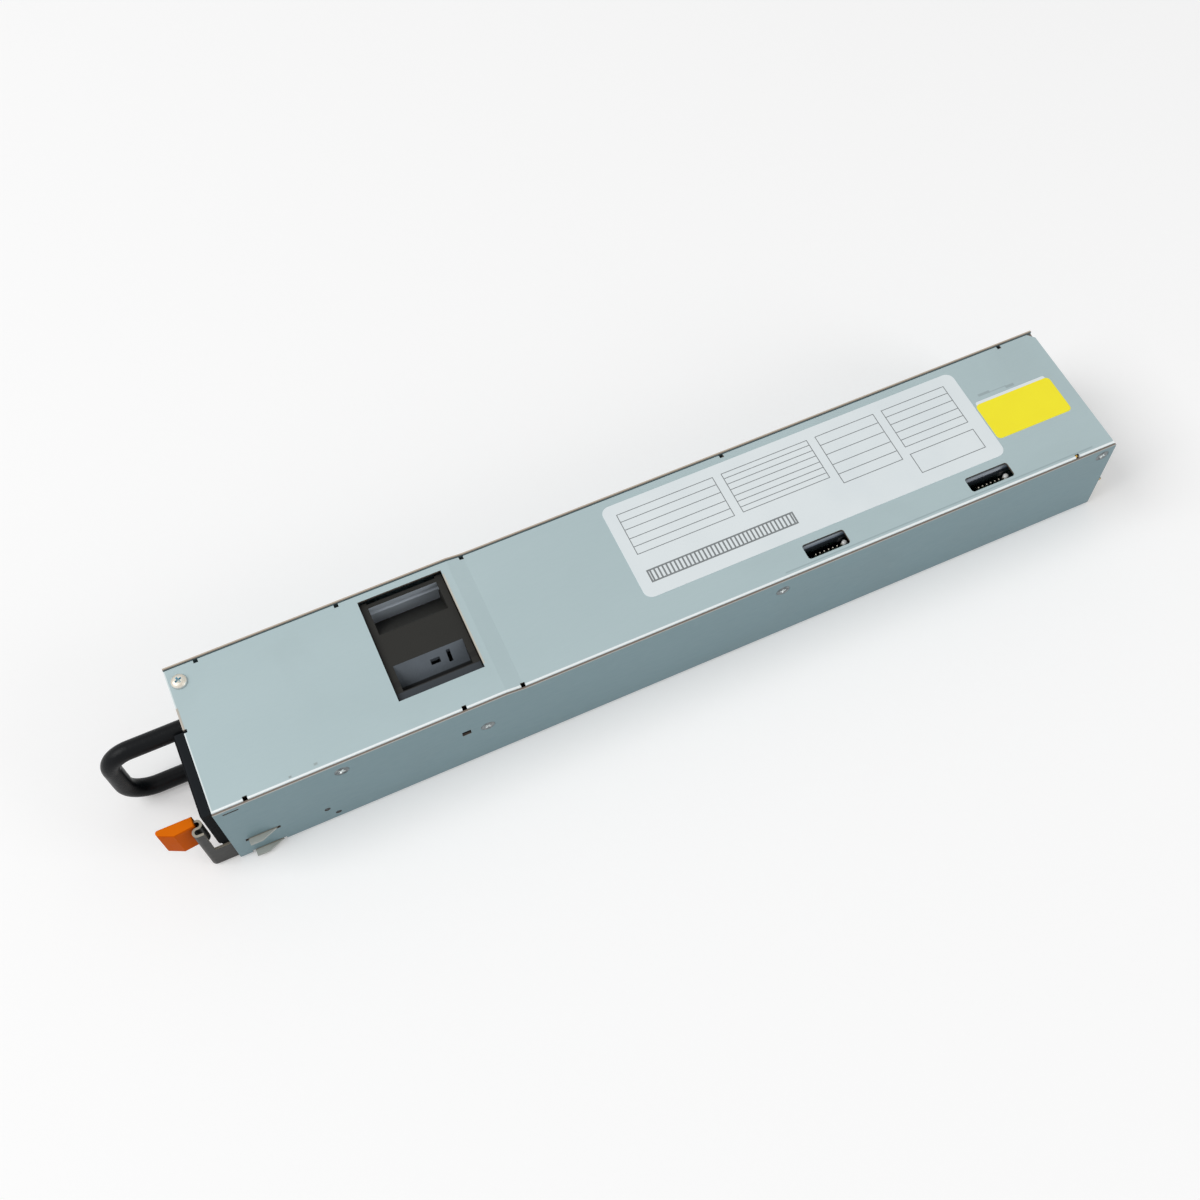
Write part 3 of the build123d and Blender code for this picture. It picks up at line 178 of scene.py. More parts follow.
paper_glow = 0.24
sky_light = 0.45
paper = bpy.data.materials.new("pale_paper")
paper.use_nodes = True
paper_shader = paper.node_tree.nodes["Principled BSDF"]
paper_shader.inputs["Base Color"].default_value = (0.80, 0.80, 0.80, 1.0)
paper_shader.inputs["Roughness"].default_value = 0.9
paper_shader.inputs["Specular IOR Level"].default_value = 0.1
paper_shader.inputs["Emission Color"].default_value = (1.0, 1.0, 1.0, 1.0)
glow_seen = times(paper.node_tree, seen_directly(paper.node_tree), paper_glow)
paper.node_tree.links.new(glow_seen, paper_shader.inputs["Emission Strength"])
floor.data.materials.append(paper)

world = bpy.data.worlds.new("studio")
bpy.context.scene.world = world
world.use_nodes = True
sky = world.node_tree.nodes["Background"]
sky.inputs["Color"].default_value = (1.0, 1.0, 1.0, 1.0)
sky_level = spread(world.node_tree, seen_directly(world.node_tree), 0.0, 1.0, sky_light, 1.0)
world.node_tree.links.new(sky_level, sky.inputs["Strength"])
bpy.context.scene.view_settings.view_transform = "Standard"
print("glow of the floor:", paper_glow, "light of the sky:", sky_light)

# %% [markdown]
# Studio light comes from large panels. A big soft one hangs high beyond the handle end, so the
# top is the brightest face. A weak one stands low at the latch side, near the rear, and lifts the
# near wall a little towards its right end, as in the photograph.

# %% Lamps


def soft_panel(name, place, towards, side, watts):
    """A square lamp that faces a point."""
    lamp = bpy.data.lights.new(name, "AREA")
    lamp.shape = "SQUARE"
    lamp.size = side
    lamp.energy = watts
    holder = bpy.data.objects.new(name, lamp)
    aim = (Vector(towards) - Vector(place)).to_track_quat("-Z", "Y")
    holder.matrix_world = Matrix.Translation(Vector(place)) @ aim.to_matrix().to_4x4()
    bpy.context.scene.collection.objects.link(holder)
    return holder


lamps = [
    soft_panel("overhead_panel", (-1.70, 0.25, 2.05), (0.0, 0.0, 0.02), 1.60, 37.5),
    soft_panel("side_panel", (0.80, -0.75, 0.50), (0.2, 0.0, 0.02), 0.50, 2.4),
]
print("lamps:", [lamp.name for lamp in lamps])

# %% [markdown]
# Many finishes share an effect: cloudy colour in zinc and plastic, fine grain, smudges from
# hands, and the bare cut edge of sheet steel. Each effect is a node group, built once with named
# inputs, so that a material only gives its own values. The groups put out masks and heights; the
# shader itself stays in the material.

# %% Shared effect: clouds and grain
NUMBER = "NodeSocketFloat"
TRIPLE = "NodeSocketVector"


def effect(name, inputs, outputs):
    """An empty shader node group with named sockets."""
    tree = bpy.data.node_groups.new(name, "ShaderNodeTree")
    for label, kind, value in inputs:
        socket = tree.interface.new_socket(name=label, in_out="INPUT", socket_type=kind)
        socket.default_value = value
    for label in outputs:
        tree.interface.new_socket(name=label, in_out="OUTPUT", socket_type=NUMBER)
    return tree, put(tree, "NodeGroupInput").outputs, put(tree, "NodeGroupOutput").inputs


cloud_inputs = [
    ("Stretch", TRIPLE, (1.0, 1.0, 1.0)),
    ("Scale", NUMBER, 40.0),
    ("Detail", NUMBER, 4.0),
    ("Contrast", NUMBER, 0.2),
]
clouds, given, gives = effect("clouds", cloud_inputs, ["Mask"])
stretched = sum_up_vectors(clouds, "MULTIPLY", object_place(clouds), given["Stretch"])
cloud_feeds = {"Vector": stretched, "Scale": given["Scale"], "Detail": given["Detail"]}
cloud_noise = put(clouds, "ShaderNodeTexNoise", cloud_feeds).outputs["Fac"]
cloud_low = sum_up(clouds, "SUBTRACT", 0.5, given["Contrast"])
cloud_high = sum_up(clouds, "ADD", 0.5, given["Contrast"])
clouds.links.new(spread(clouds, cloud_noise, cloud_low, cloud_high), gives["Mask"])
print("group:", clouds.name)

# %% [markdown]
# Hands leave dull patches and fine scratches on a case that is carried about. The patches are the
# upper part of a slow noise. A scratch is a place where a second noise, drawn out to one side,
# passes through its middle value. Scratches show only inside patches, where the case was touched.

# %% Shared effect: smudges and scratches
smudge_inputs = [
    ("Patch Scale", NUMBER, 18.0),
    ("Amount", NUMBER, 0.5),
    ("Scratch Scale", NUMBER, 90.0),
    ("Scratches", NUMBER, 0.3),
]
smudges, given, gives = effect("smudges", smudge_inputs, ["Mask", "Height"])
smudge_place = object_place(smudges)
patch_feeds = {"Vector": smudge_place, "Scale": given["Patch Scale"], "Detail": 6.0, "Distortion": 0.6}
patch = put(smudges, "ShaderNodeTexNoise", patch_feeds).outputs["Fac"]
patch_mask = spread(smudges, patch, 0.54, 0.74)
drawn_out = {"Vector": smudge_place, "Rotation": (0.0, 0.0, 0.5), "Scale": (0.08, 1.0, 1.0)}
scratch_place = put(smudges, "ShaderNodeMapping", drawn_out).outputs[0]
scratch_feeds = {"Vector": scratch_place, "Scale": given["Scratch Scale"], "Detail": 3.0}
scratch = put(smudges, "ShaderNodeTexNoise", scratch_feeds).outputs["Fac"]
scratch_away = sum_up(smudges, "ABSOLUTE", sum_up(smudges, "SUBTRACT", scratch, 0.5))
scratch_line = spread(smudges, scratch_away, 0.0, 0.012, 1.0, 0.0)
scratch_part = times(smudges, times(smudges, scratch_line, given["Scratches"]), patch_mask)
patch_part = times(smudges, patch_mask, given["Amount"])
smudges.links.new(sum_up(smudges, "MAXIMUM", patch_part, scratch_part), gives["Mask"])
smudges.links.new(scratch_part, gives["Height"])
print("group:", smudges.name)

# %% [markdown]
# Some marks have a place of their own: the painted highlight along a bend, the worn lip of the window, the
# painted shade of a line pressed into the cover. A box with soft sides picks such a place out. Each side
# gives how far inside a point is, and the least of the six, divided by the softness, is the mask.

# %% Shared effect: a place picked out by a box
box_inputs = [
    ("Low", TRIPLE, (-1.0, -1.0, -1.0)),
    ("High", TRIPLE, (1.0, 1.0, 1.0)),
    ("Softness", NUMBER, 0.0003),
]
place_box, given, gives = effect("place_box", box_inputs, ["Mask"])
box_point = object_place(place_box)
above_low = sum_up_vectors(place_box, "SUBTRACT", box_point, given["Low"])
below_high = sum_up_vectors(place_box, "SUBTRACT", given["High"], box_point)
depth_axes = axes_of(place_box, sum_up_vectors(place_box, "MINIMUM", above_low, below_high))
least_xy = sum_up(place_box, "MINIMUM", depth_axes["X"], depth_axes["Y"])
least_depth = sum_up(place_box, "MINIMUM", least_xy, depth_axes["Z"])
place_box.links.new(spread(place_box, least_depth, 0.0, given["Softness"]), gives["Mask"])
print("group:", place_box.name)

# %% [markdown]
# Sheet steel is cut after it is coated, so its narrow edges show bare, slightly brown metal. On
# a flat sheet these are the faces that look along the sheet. The group compares a face's own
# direction with the direction across the sheet, which each material names. Walls and floors that
# are bent from the same sheet look another way without being cut, so they are kept out by place.

# %% Shared effect: cut edges
edge_inputs = [
    ("Across", TRIPLE, (0.0, 0.0, 1.0)),
    ("Turn At", NUMBER, 0.35),
    ("Wall From", NUMBER, 1.0),
    ("Floor To", NUMBER, -1.0),
]
cut_edge, given, gives = effect("cut_edge", edge_inputs, ["Mask"])


def larger(value, limit):
    """In this group, 1 where a value is past a limit on either side of zero."""
    return sum_up(cut_edge, "GREATER_THAN", sum_up(cut_edge, "ABSOLUTE", value), limit)


clearly_turned = 0.3
face_way = face_direction(cut_edge)
along_sheet = larger(sum_up_vectors(cut_edge, "DOT_PRODUCT", face_way, given["Across"]), given["Turn At"])
is_edge = sum_up(cut_edge, "SUBTRACT", 1.0, along_sheet)
way_axes = axes_of(cut_edge, face_way)
place_axes = axes_of(cut_edge, object_place(cut_edge))
at_wall = larger(place_axes["Y"], given["Wall From"])
is_wall = times(cut_edge, larger(way_axes["Y"], clearly_turned), at_wall)
at_floor = sum_up(cut_edge, "LESS_THAN", place_axes["Z"], given["Floor To"])
is_floor = times(cut_edge, larger(way_axes["Z"], clearly_turned), at_floor)
is_flat = sum_up(cut_edge, "SUBTRACT", 1.0, sum_up(cut_edge, "MAXIMUM", is_wall, is_floor))
cut_edge.links.new(times(cut_edge, is_edge, is_flat), gives["Mask"])
print("group:", cut_edge.name)

# %% [markdown]
# A material here is a Principled shader with a few fed sockets. The recipe helper makes one and
# sets what is the same all over on the shader's own sockets, as the exporter needs it.

# %% Helpers for materials
finishes = {}


def finish(name, roughness, metallic=0.0, **plain):
    """A new material by its slot name: its tree and its shader, with the plain values set."""
    material = bpy.data.materials.new(name)
    material.use_nodes = True
    finishes[name] = material
    shader = material.node_tree.nodes["Principled BSDF"]
    shader.inputs["Roughness"].default_value = roughness
    shader.inputs["Metallic"].default_value = metallic
    for key, value in plain.items():
        shader.inputs[key.replace("_", " ")].default_value = value
    return material.node_tree, shader


def use(tree, group, feeds):
    """Places a shared effect in a material, with the material's own values."""
    return put(tree, "ShaderNodeGroup", feeds, node_tree=group).outputs


def cloudy(tree, scale, detail, contrast, stretch=(1.0, 1.0, 1.0)):
    """A mask of clouds, or of grain where the scale is large."""
    feeds = {"Stretch": stretch, "Scale": scale, "Detail": detail, "Contrast": contrast}
    return use(tree, clouds, feeds)["Mask"]


def bumped(tree, shader, height, depth, strength=1.0):
    """Feeds a height from 0 to 1, worth a depth in metres, to the shader's normal."""
    bump = put(tree, "ShaderNodeBump", {"Height": height, "Distance": depth, "Strength": strength})
    tree.links.new(bump.outputs["Normal"], shader.inputs["Normal"])


def marked_places(tree, base, places):
    """Blends a colour in at each place: two corners and a softness in millimetres, share, colour."""
    for low, high, softness, share, colour in places:
        feeds = {
            "Low": tuple(value * MM for value in low),
            "High": tuple(value * MM for value in high),
            "Softness": softness * MM,
        }
        mask = use(tree, place_box, feeds)["Mask"]
        base = blend_tones(tree, times(tree, mask, share), base, colour)
    return base


print("material helpers ready")

# %% [markdown]
# The cover and the tray are zinc-coated sheet steel: pale, a little blue, satin, with a soft
# cloudiness, fine grain along the rolling direction and some marks from hands. Real zinc is a
# metal, yet it looks nearly matt in soft light, so the shader is only partly metallic.

# %% Recipe: sheet steel
hand_mark = tone(92, 96, 96)


def sheet_steel(name, tones, across, bent, metallic, roughness, marks, places=(), edge_places=()):
    """Coated sheet steel. Its tones are the plain one, the one in the clouds, and the bare edge's."""
    plain, deep, bare = tones
    tree, shader = finish(name, roughness, metallic, Specular_IOR_Level=0.4)
    wide = cloudy(tree, 26.0, 5.0, 0.22, (0.5, 1.0, 1.0))
    grain = cloudy(tree, 1900.0, 2.0, 0.3, (0.12, 1.0, 1.0))
    touch = {"Patch Scale": 22.0, "Amount": marks, "Scratch Scale": 160.0, "Scratches": 0.5}
    marked = use(tree, smudges, touch)
    edge_feeds = {"Across": across, "Wall From": bent[0], "Floor To": bent[1]}
    base = blend_tones(tree, times(tree, wide, 0.45), plain, deep)
    base = blend_tones(tree, times(tree, grain, 0.16), base, deep)
    base = blend_tones(tree, times(tree, marked["Mask"], 0.18), base, hand_mark)
    bare = marked_places(tree, bare, edge_places)
    base = blend_tones(tree, use(tree, cut_edge, edge_feeds)["Mask"], base, bare)
    tree.links.new(marked_places(tree, base, places), shader.inputs["Base Color"])
    rough = sum_up(tree, "ADD", roughness - 0.05, times(tree, grain, 0.12))
    rough = sum_up(tree, "SUBTRACT", rough, times(tree, marked["Mask"], 0.08))
    tree.links.new(rough, shader.inputs["Roughness"])
    height = sum_up(tree, "SUBTRACT", grain, times(tree, marked["Height"], 2.0))
    bumped(tree, shader, height, 0.000012, 0.6)


print("recipe for sheet steel ready")

# %% [markdown]
# The cover of the real supply isn't even. Its near bend and front edge get a painted highlight and its far
# bend a painted shade. A line pressed into it beside the slots is drawn as a darker painted shade, and a
# few spots are worn. Each place is a row with the two corners of its box, how soft its border is, how
# strong the colour is, and the colour, all in the units of the case.

# %% Places on the steel
cover_places = [
    # Painted highlight along the near bend, then painted shade along the far bend
    ((-161, -27, 36.0), (161, -25.35, 40), 0.25, 0.95, tone(238, 244, 245)),
    ((-161, 25.9, 36.0), (161, 27, 40), 0.20, 0.50, tone(146, 162, 166)),
    # The worn lip of the window, then a line pressed beside the slots, drawn as a darker painted shade
    ((-67.3, -14, 36.9), (-66.6, 22, 39), 0.20, 0.75, tone(200, 190, 172)),
    ((35, -24.85, 36.9), (153, -24.15, 39), 0.25, 0.40, tone(116, 134, 138)),
    # Painted highlight along the front edge; the rows after it are worn spots and scuffs
    ((-161, -26, 36.9), (-160.25, 26, 39), 0.25, 0.80, tone(232, 238, 238)),
    ((-161, 3.0, 36.9), (-159.9, 12, 39), 0.30, 0.70, tone(176, 160, 142)),
    ((-135.9, -25.3, 36.9), (-134.7, -24.3, 39), 0.40, 0.60, tone(112, 112, 108)),
    ((-127.6, -24.6, 36.9), (-126.0, -23.4, 39), 0.50, 0.50, tone(118, 118, 112)),
    ((128.8, 9.7, 36.9), (133.6, 11.0, 39), 0.60, 0.60, tone(92, 98, 100)),
    ((133.0, 9.8, 36.9), (140.0, 10.3, 39), 0.25, 0.40, tone(104, 116, 120)),
    ((139.4, 8.8, 36.9), (143.0, 10.2, 39), 0.60, 0.60, tone(96, 102, 104)),
]
# On the cut edge of the walls: a painted highlight on the outer half of the near one, and a pale band on
# the far one
wall_places = [
    ((-161, -27.5, 36.0), (161, -26.92, 39), 0.12, 0.75, tone(176, 182, 180)),
    ((-161, 26.75, 36.0), (161, 27.5, 39), 0.15, 0.85, tone(200, 188, 170)),
]
# Outside the wall the latch's teeth get a painted highlight, where their upper faces catch the light
tooth_highlight_places = [((-161, -40, 0), (-120, -27.3, 40), 0.20, 0.90, tone(180, 184, 178))]
print("places:", len(cover_places), "on the cover,", len(wall_places), "on the walls' edges")

# %% Finishes: sheet steel
across_x, across_y, across_z = (1.0, 0.0, 0.0), (0.0, 1.0, 0.0), (0.0, 0.0, 1.0)
# Past these lies a wall or a floor that is bent from the same sheet; the far values mean none
wall_y, floor_z = 0.0252, 0.0012
no_wall, no_floor = 1.0, -1.0
bare_steel = tone(118, 106, 96)
bare_spring = tone(158, 152, 138)
cover_tones = (tone(178, 196, 199), tone(168, 187, 190), bare_steel)
# The walls are darker than the cover partly as painted shade, for the side that gets less light
side_shaded_tones = (tone(127, 153, 160), tone(119, 144, 151), bare_steel)
panel_tones = (tone(150, 170, 176), tone(138, 158, 165), bare_steel)
# The spring steel's tones are set dark as painted shade, standing in for the dark surroundings its web
# reflects
spring_shaded_tones = (tone(38, 38, 36), tone(31, 31, 29), bare_spring)
sheet_steel("cover_steel", cover_tones, across_z, (wall_y, no_floor), 0.25, 0.46, 0.3, cover_places)
side_bent = (no_wall, floor_z)
sheet_steel("cover_steel_side", side_shaded_tones, across_y, side_bent, 0.30, 0.44, 0.4, (), wall_places)
sheet_steel("panel_steel", panel_tones, across_x, (wall_y, floor_z), 0.35, 0.40, 0.4)
spring_bent = (no_wall, no_floor)
sheet_steel("spring_steel", spring_shaded_tones, across_y, spring_bent, 0.12, 0.46, 0.3, tooth_highlight_places)
print("sheet steels:", sorted(finishes))

# %% [markdown]
# The black bezel, the inlet, the fan and the orange button are moulded. A mould is etched, so
# its parts have a fine matt skin that breaks up reflections, and edges that hands have polished.
# One recipe gives all of them, with its own colour and coarseness. Where a part asks for it, its faces
# towards the near side get a tone of their own: painted light on some parts and painted shade on others.

# %% Recipe: moulded plastic


def moulding(
    name, plain, worn, roughness, coarseness, depth,
    sheen=0.35, near_shading_tone=None, near_shading_places=(), places=(),
):
    """Moulded plastic with an etched skin and a faint change of colour."""
    tree, shader = finish(name, roughness, 0.0, Specular_IOR_Level=sheen)
    skin = cloudy(tree, coarseness, 3.0, 0.16)
    wide = cloudy(tree, 60.0, 4.0, 0.2)
    touch = {"Patch Scale": 50.0, "Amount": 0.6, "Scratch Scale": 300.0, "Scratches": 0.4}
    marked = use(tree, smudges, touch)["Mask"]
    base = blend_tones(tree, times(tree, wide, 0.5), plain, worn)
    base = blend_tones(tree, times(tree, marked, 0.25), base, worn)
    # Faces towards the near side get their own tone, painted light on the fan and painted shade on the
    # button
    if near_shading_tone:
        faces_near_side = spread(tree, axes_of(tree, face_direction(tree))["Y"], -0.6, -0.3, 1.0, 0.0)
        near_shading_base = blend_tones(tree, times(tree, wide, 0.3), near_shading_tone, worn)
        near_shading_base = marked_places(tree, near_shading_base, near_shading_places)
        base = blend_tones(tree, faces_near_side, base, near_shading_base)
    tree.links.new(marked_places(tree, base, places), shader.inputs["Base Color"])
    rough = spread(tree, wide, 0.0, 1.0, roughness - 0.06, roughness + 0.06)
    tree.links.new(rough, shader.inputs["Roughness"])
    bumped(tree, shader, skin, depth, 0.7)


print("recipe for mouldings ready")

# %% Finishes: moulded parts of the front
# The bezel's upper face gets a painted light, a little paler than the rest of it
bezel_top_light = [((-200, -40, 36.3), (-150, 40, 39), 0.15, 0.8, tone(38, 41, 44))]
black, worn_black = tone(12, 14, 16), tone(19, 21, 24)
moulding("black_moulding", black, worn_black, 0.55, 2600.0, 0.00003, 0.03, places=bezel_top_light)
moulding("inlet_moulding", tone(14, 15, 16), tone(22, 23, 25), 0.42, 3200.0, 0.00002, 0.3)
# The button's faces towards the near side are a darker orange, a painted shade
orange, worn_orange, orange_shaded_side = tone(230, 114, 10), tone(218, 104, 8), tone(204, 90, 4)
moulding("orange_moulding", orange, worn_orange, 0.58, 2600.0, 0.00003, 0.03, orange_shaded_side)
# The lacquered handle and the rivets come from no mould, yet the same recipe suits their skin
moulding("black_lacquer", tone(12, 14, 16), tone(18, 20, 23), 0.34, 1500.0, 0.00004, 0.12)
# The rivets are painted near black: painted shade, as dark as holes
moulding("rivet_painted_shade", tone(34, 38, 40), tone(48, 52, 54), 0.40, 1800.0, 0.00001)
print("finishes so far:", len(finishes))

# %% [markdown]
# The fan's housing shows in the window. Its sloped near faces catch the light, so they are painted grey as
# painted light. The inner face of its far wall gets a paler painted light still, a step inside the near
# wall gets a painted shadow, and the top of that wall is painted paler. The same recipe makes it, with
# these places as its own rows.

# %% Finish: the fan
# Painted light on the inner face of the far wall, among the faces towards the near side
fan_far_wall_light = [((-120, 17, 0), (-60, 26, 40), 0.2, 0.9, tone(196, 206, 216))]
fan_light_and_shade = [
    # A painted shadow in the step inside the near wall, then the top of that wall painted paler
    ((-120, -9.6, 0), (-60, -7.3, 40), 0.25, 0.90, tone(24, 23, 21)),
    ((-120, -16, 30), (-60, -11.6, 40), 0.20, 0.85, tone(58, 64, 70)),
]
fan_tones = (tone(32, 32, 29), tone(40, 39, 36))
# The grey of the sloped near faces is painted light
fan_lit_grey = tone(104, 112, 120)
moulding("fan_moulding", *fan_tones, 0.55, 2200.0, 0.00003, 0.25, fan_lit_grey, fan_far_wall_light, fan_light_and_shade)
print("places on the fan:", len(fan_light_and_shade) + len(fan_far_wall_light))

# %% Finishes: moulded parts inside the case
moulding("capacitor_case", tone(172, 158, 74), tone(158, 142, 62), 0.30, 1200.0, 0.00001, 0.5)
moulding("relay_case", tone(30, 31, 34), tone(40, 41, 44), 0.35, 2000.0, 0.00001, 0.5)
moulding("capacitor_sleeve", tone(26, 30, 44), tone(34, 38, 54), 0.28, 700.0, 0.00002, 0.5)
moulding("lead_sleeve", tone(28, 28, 28), tone(38, 38, 38), 0.45, 1500.0, 0.00001)
moulding("fuse_ceramic", tone(214, 210, 200), tone(200, 195, 184), 0.30, 1800.0, 0.00001, 0.5)
moulding("ferrite", tone(52, 53, 56), tone(66, 67, 70), 0.55, 1600.0, 0.00002)
moulding("lamp_resin", tone(216, 214, 198), tone(204, 202, 188), 0.18, 900.0, 0.000005, 0.6)
moulding("nylon_white", tone(226, 228, 226), tone(208, 210, 208), 0.32, 1500.0, 0.00001, 0.5)
print("finishes so far:", len(finishes))

# %% [markdown]
# Screws, contacts, pins and heatsinks are plated or bare metal. Their shader is fully metallic,
# and fine grain along one direction gives them the look of drawn or turned stock. A stretch
# below 1 draws the grain out along that direction.

# %% Recipe: plated and bare metal
even, drawn_x, drawn_z = (1.0, 1.0, 1.0), (0.1, 1.0, 1.0), (1.0, 1.0, 0.1)


def plated(name, bright, dull, roughness, stretch, grain_scale, depth, places=()):
    """Metal with fine grain along one direction and a dull cloudiness."""
    tree, shader = finish(name, roughness, 1.0)
    grain = cloudy(tree, grain_scale, 2.0, 0.3, stretch)
    wide = cloudy(tree, 220.0, 4.0, 0.2)
    base = marked_places(tree, blend_tones(tree, wide, bright, dull), places)
    tree.links.new(base, shader.inputs["Base Color"])
    rough = spread(tree, grain, 0.0, 1.0, roughness - 0.05, roughness + 0.08)
    tree.links.new(rough, shader.inputs["Roughness"])
    bumped(tree, shader, grain, depth, 0.5)


print("recipe for metals ready")

# %% Finishes: plated and bare metal
# Inside the case the contacts are painted dark, a painted shade that keeps them from glinting through the
# notch
contacts_in_shade = [((100, -40, -10), (159, 40, 40), 0.5, 0.95, tone(40, 38, 30))]
gold, dull_gold, contact_grain = tone(228, 188, 96), tone(206, 166, 80), (0.2, 1.0, 1.0)
plated("gold_contact", gold, dull_gold, 0.24, contact_grain, 1500.0, 0.000004, contacts_in_shade)
pin_grain = (1.0, 1.0, 0.2)
plated("contact_brass", tone(214, 196, 140), tone(190, 170, 116), 0.30, pin_grain, 1500.0, 0.000005)
plated("tinned_pin", tone(214, 208, 194), tone(190, 184, 170), 0.28, pin_grain, 1500.0, 0.000004)
plated("screw_zinc", tone(188, 192, 190), tone(160, 166, 166), 0.32, even, 1400.0, 0.00001)
plated("motor_shaft", tone(196, 198, 202), tone(180, 182, 186), 0.20, drawn_x, 1800.0, 0.000003)
stacked_sheets = (6.0, 0.2, 0.2)
plated("motor_iron", tone(92, 92, 96), tone(76, 76, 80), 0.45, stacked_sheets, 900.0, 0.00002)
plated("sink_aluminium", tone(190, 192, 194), tone(172, 174, 178), 0.38, drawn_x, 1600.0, 0.00001)
plated("capacitor_can", tone(176, 178, 182), tone(160, 162, 166), 0.30, drawn_z, 1600.0, 0.000006)
print("finishes so far:", len(finishes))

# %% [markdown]
# The heads of the screws look different from the side than from the front, and their tones are painted
# light and shade. On the wall screws the flat face is painted dark as shade and the rim and the cross get
# a painted highlight; on the roof screw it is the other way. The mask compares a face's direction with the
# screw's axis. The roof screw's cross also reflects the sky, so a box round the middle of the imported
# head paints its steep faces blue as a painted reflection.

# %% Finishes: screw heads


def screw_face(name, flat, steep, axis, roughness, places=()):
    """A plated screw head: one tone on the flat face, and one on the rim and in the recess."""
    tree, shader = finish(name, roughness, 0.75)
    facing = sum_up_vectors(tree, "DOT_PRODUCT", face_direction(tree), axis)
    steepness = spread(tree, sum_up(tree, "ABSOLUTE", facing), 0.55, 0.75, 1.0, 0.0)
    grain = cloudy(tree, 1400.0, 2.0, 0.3)
    wide = cloudy(tree, 900.0, 3.0, 0.2)
    steep = marked_places(tree, steep, places)
    base = blend_tones(tree, steepness, flat, steep)
    tree.links.new(blend_tones(tree, times(tree, wide, 0.25), base, steep), shader.inputs["Base Color"])
    bumped(tree, shader, grain, 0.00001, 0.5)


# Wall screws: painted shade on the flat face, painted highlight on the rim and in the cross
screw_face("wall_screw_zinc", tone(66, 78, 82), tone(240, 244, 244), across_y, 0.30)
roof_low, roof_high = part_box("top_screw")
recess_middle = (roof_low + roof_high) / 2 / MM
recess_reach = Vector((1.7, 1.7, 10.0))
recess_corners = (recess_middle - recess_reach, recess_middle + recess_reach)
# A painted reflection of the sky in the roof screw's cross
recess_sky_reflection = [(*recess_corners, 0.2, 1.0, tone(150, 200, 216))]
roof_flat, roof_steep = tone(214, 205, 190), tone(200, 204, 202)
screw_face("roof_screw_zinc", roof_flat, roof_steep, across_z, 0.42, recess_sky_reflection)
print("finishes so far:", len(finishes))

# %% [markdown]
# Enamelled copper lies in turns, side by side. Real turns would be thousands of faces inside a closed
# case, so a wave texture draws them as bands, which raise the surface and darken the colour between turns
# as painted shade.

# %% Finish: copper windings
tree, shader = finish("copper_wire", 0.32, 0.9, Coat_Weight=0.3, Coat_Roughness=0.2)
turn_feeds = {"Vector": object_place(tree), "Scale": 330.0, "Distortion": 0.4, "Detail": 1.0}
turns = put(tree, "ShaderNodeTexWave", turn_feeds, bands_direction="DIAGONAL").outputs["Fac"]
# The darker copper between the turns is painted shade
wire_base = blend_tones(tree, turns, tone(120, 62, 34), tone(206, 122, 74))
tree.links.new(wire_base, shader.inputs["Base Color"])
bumped(tree, shader, turns, 0.0002)
print("finish:", "copper_wire")

# %% [markdown]
# A circuit board is green solder mask over copper: tracks show through it as slightly paler
# patches. The main board lies flat, so its sibling finish also shows the tan laminate at the
# edges, which the cut edge group finds.

# %% Finishes: circuit boards
for board_name, laminate in (("green_board", 0.0), ("green_board_flat", 1.0)):
    tree, shader = finish(board_name, 0.28, 0.0, Coat_Weight=0.4, Coat_Roughness=0.15)
    track_turn = {"Vector": object_place(tree), "Scale": (1.0, 2.2, 1.0)}
    track_place = put(tree, "ShaderNodeMapping", track_turn).outputs[0]
    track_feeds = {"Vector": track_place, "Scale": 160.0, "Randomness": 0.6}
    tracks = put(tree, "ShaderNodeTexVoronoi", track_feeds, distance="MANHATTAN")
    copper_under = spread(tree, tracks.outputs["Distance"], 0.40, 0.46)
    mask_clouds = cloudy(tree, 90.0, 3.0, 0.2)
    board_base = blend_tones(tree, times(tree, copper_under, 0.55), tone(14, 74, 40), tone(38, 116, 66))
    board_base = blend_tones(tree, times(tree, mask_clouds, 0.25), board_base, tone(12, 60, 34))
    board_edge = use(tree, cut_edge, {"Across": across_z})["Mask"]
    board_base = blend_tones(tree, times(tree, board_edge, laminate), board_base, tone(196, 160, 84))
    tree.links.new(board_base, shader.inputs["Base Color"])
    bumped(tree, shader, copper_under, 0.00003)
print("finishes so far:", len(finishes))

# %% [markdown]
# The light pipes are clear plastic with a slight haze, and the insulating film is smoked blue plastic.
# Seen through the slots the film gets a painted highlight along its near bend, a painted shade on the leg
# below it, and painted light on the part under the second slot. They are measured from the film's near
# edge.

# %% Finishes: clear plastic and film
tree, shader = finish("clear_light_pipe", 0.16, 0.0, Transmission_Weight=0.55, IOR=1.58)
pipe_haze = cloudy(tree, 700.0, 3.0, 0.2)
pipe_base = blend_tones(tree, pipe_haze, tone(222, 226, 226), tone(206, 211, 212))
tree.links.new(pipe_base, shader.inputs["Base Color"])
tree.links.new(spread(tree, pipe_haze, 0.0, 1.0, 0.12, 0.22), shader.inputs["Roughness"])

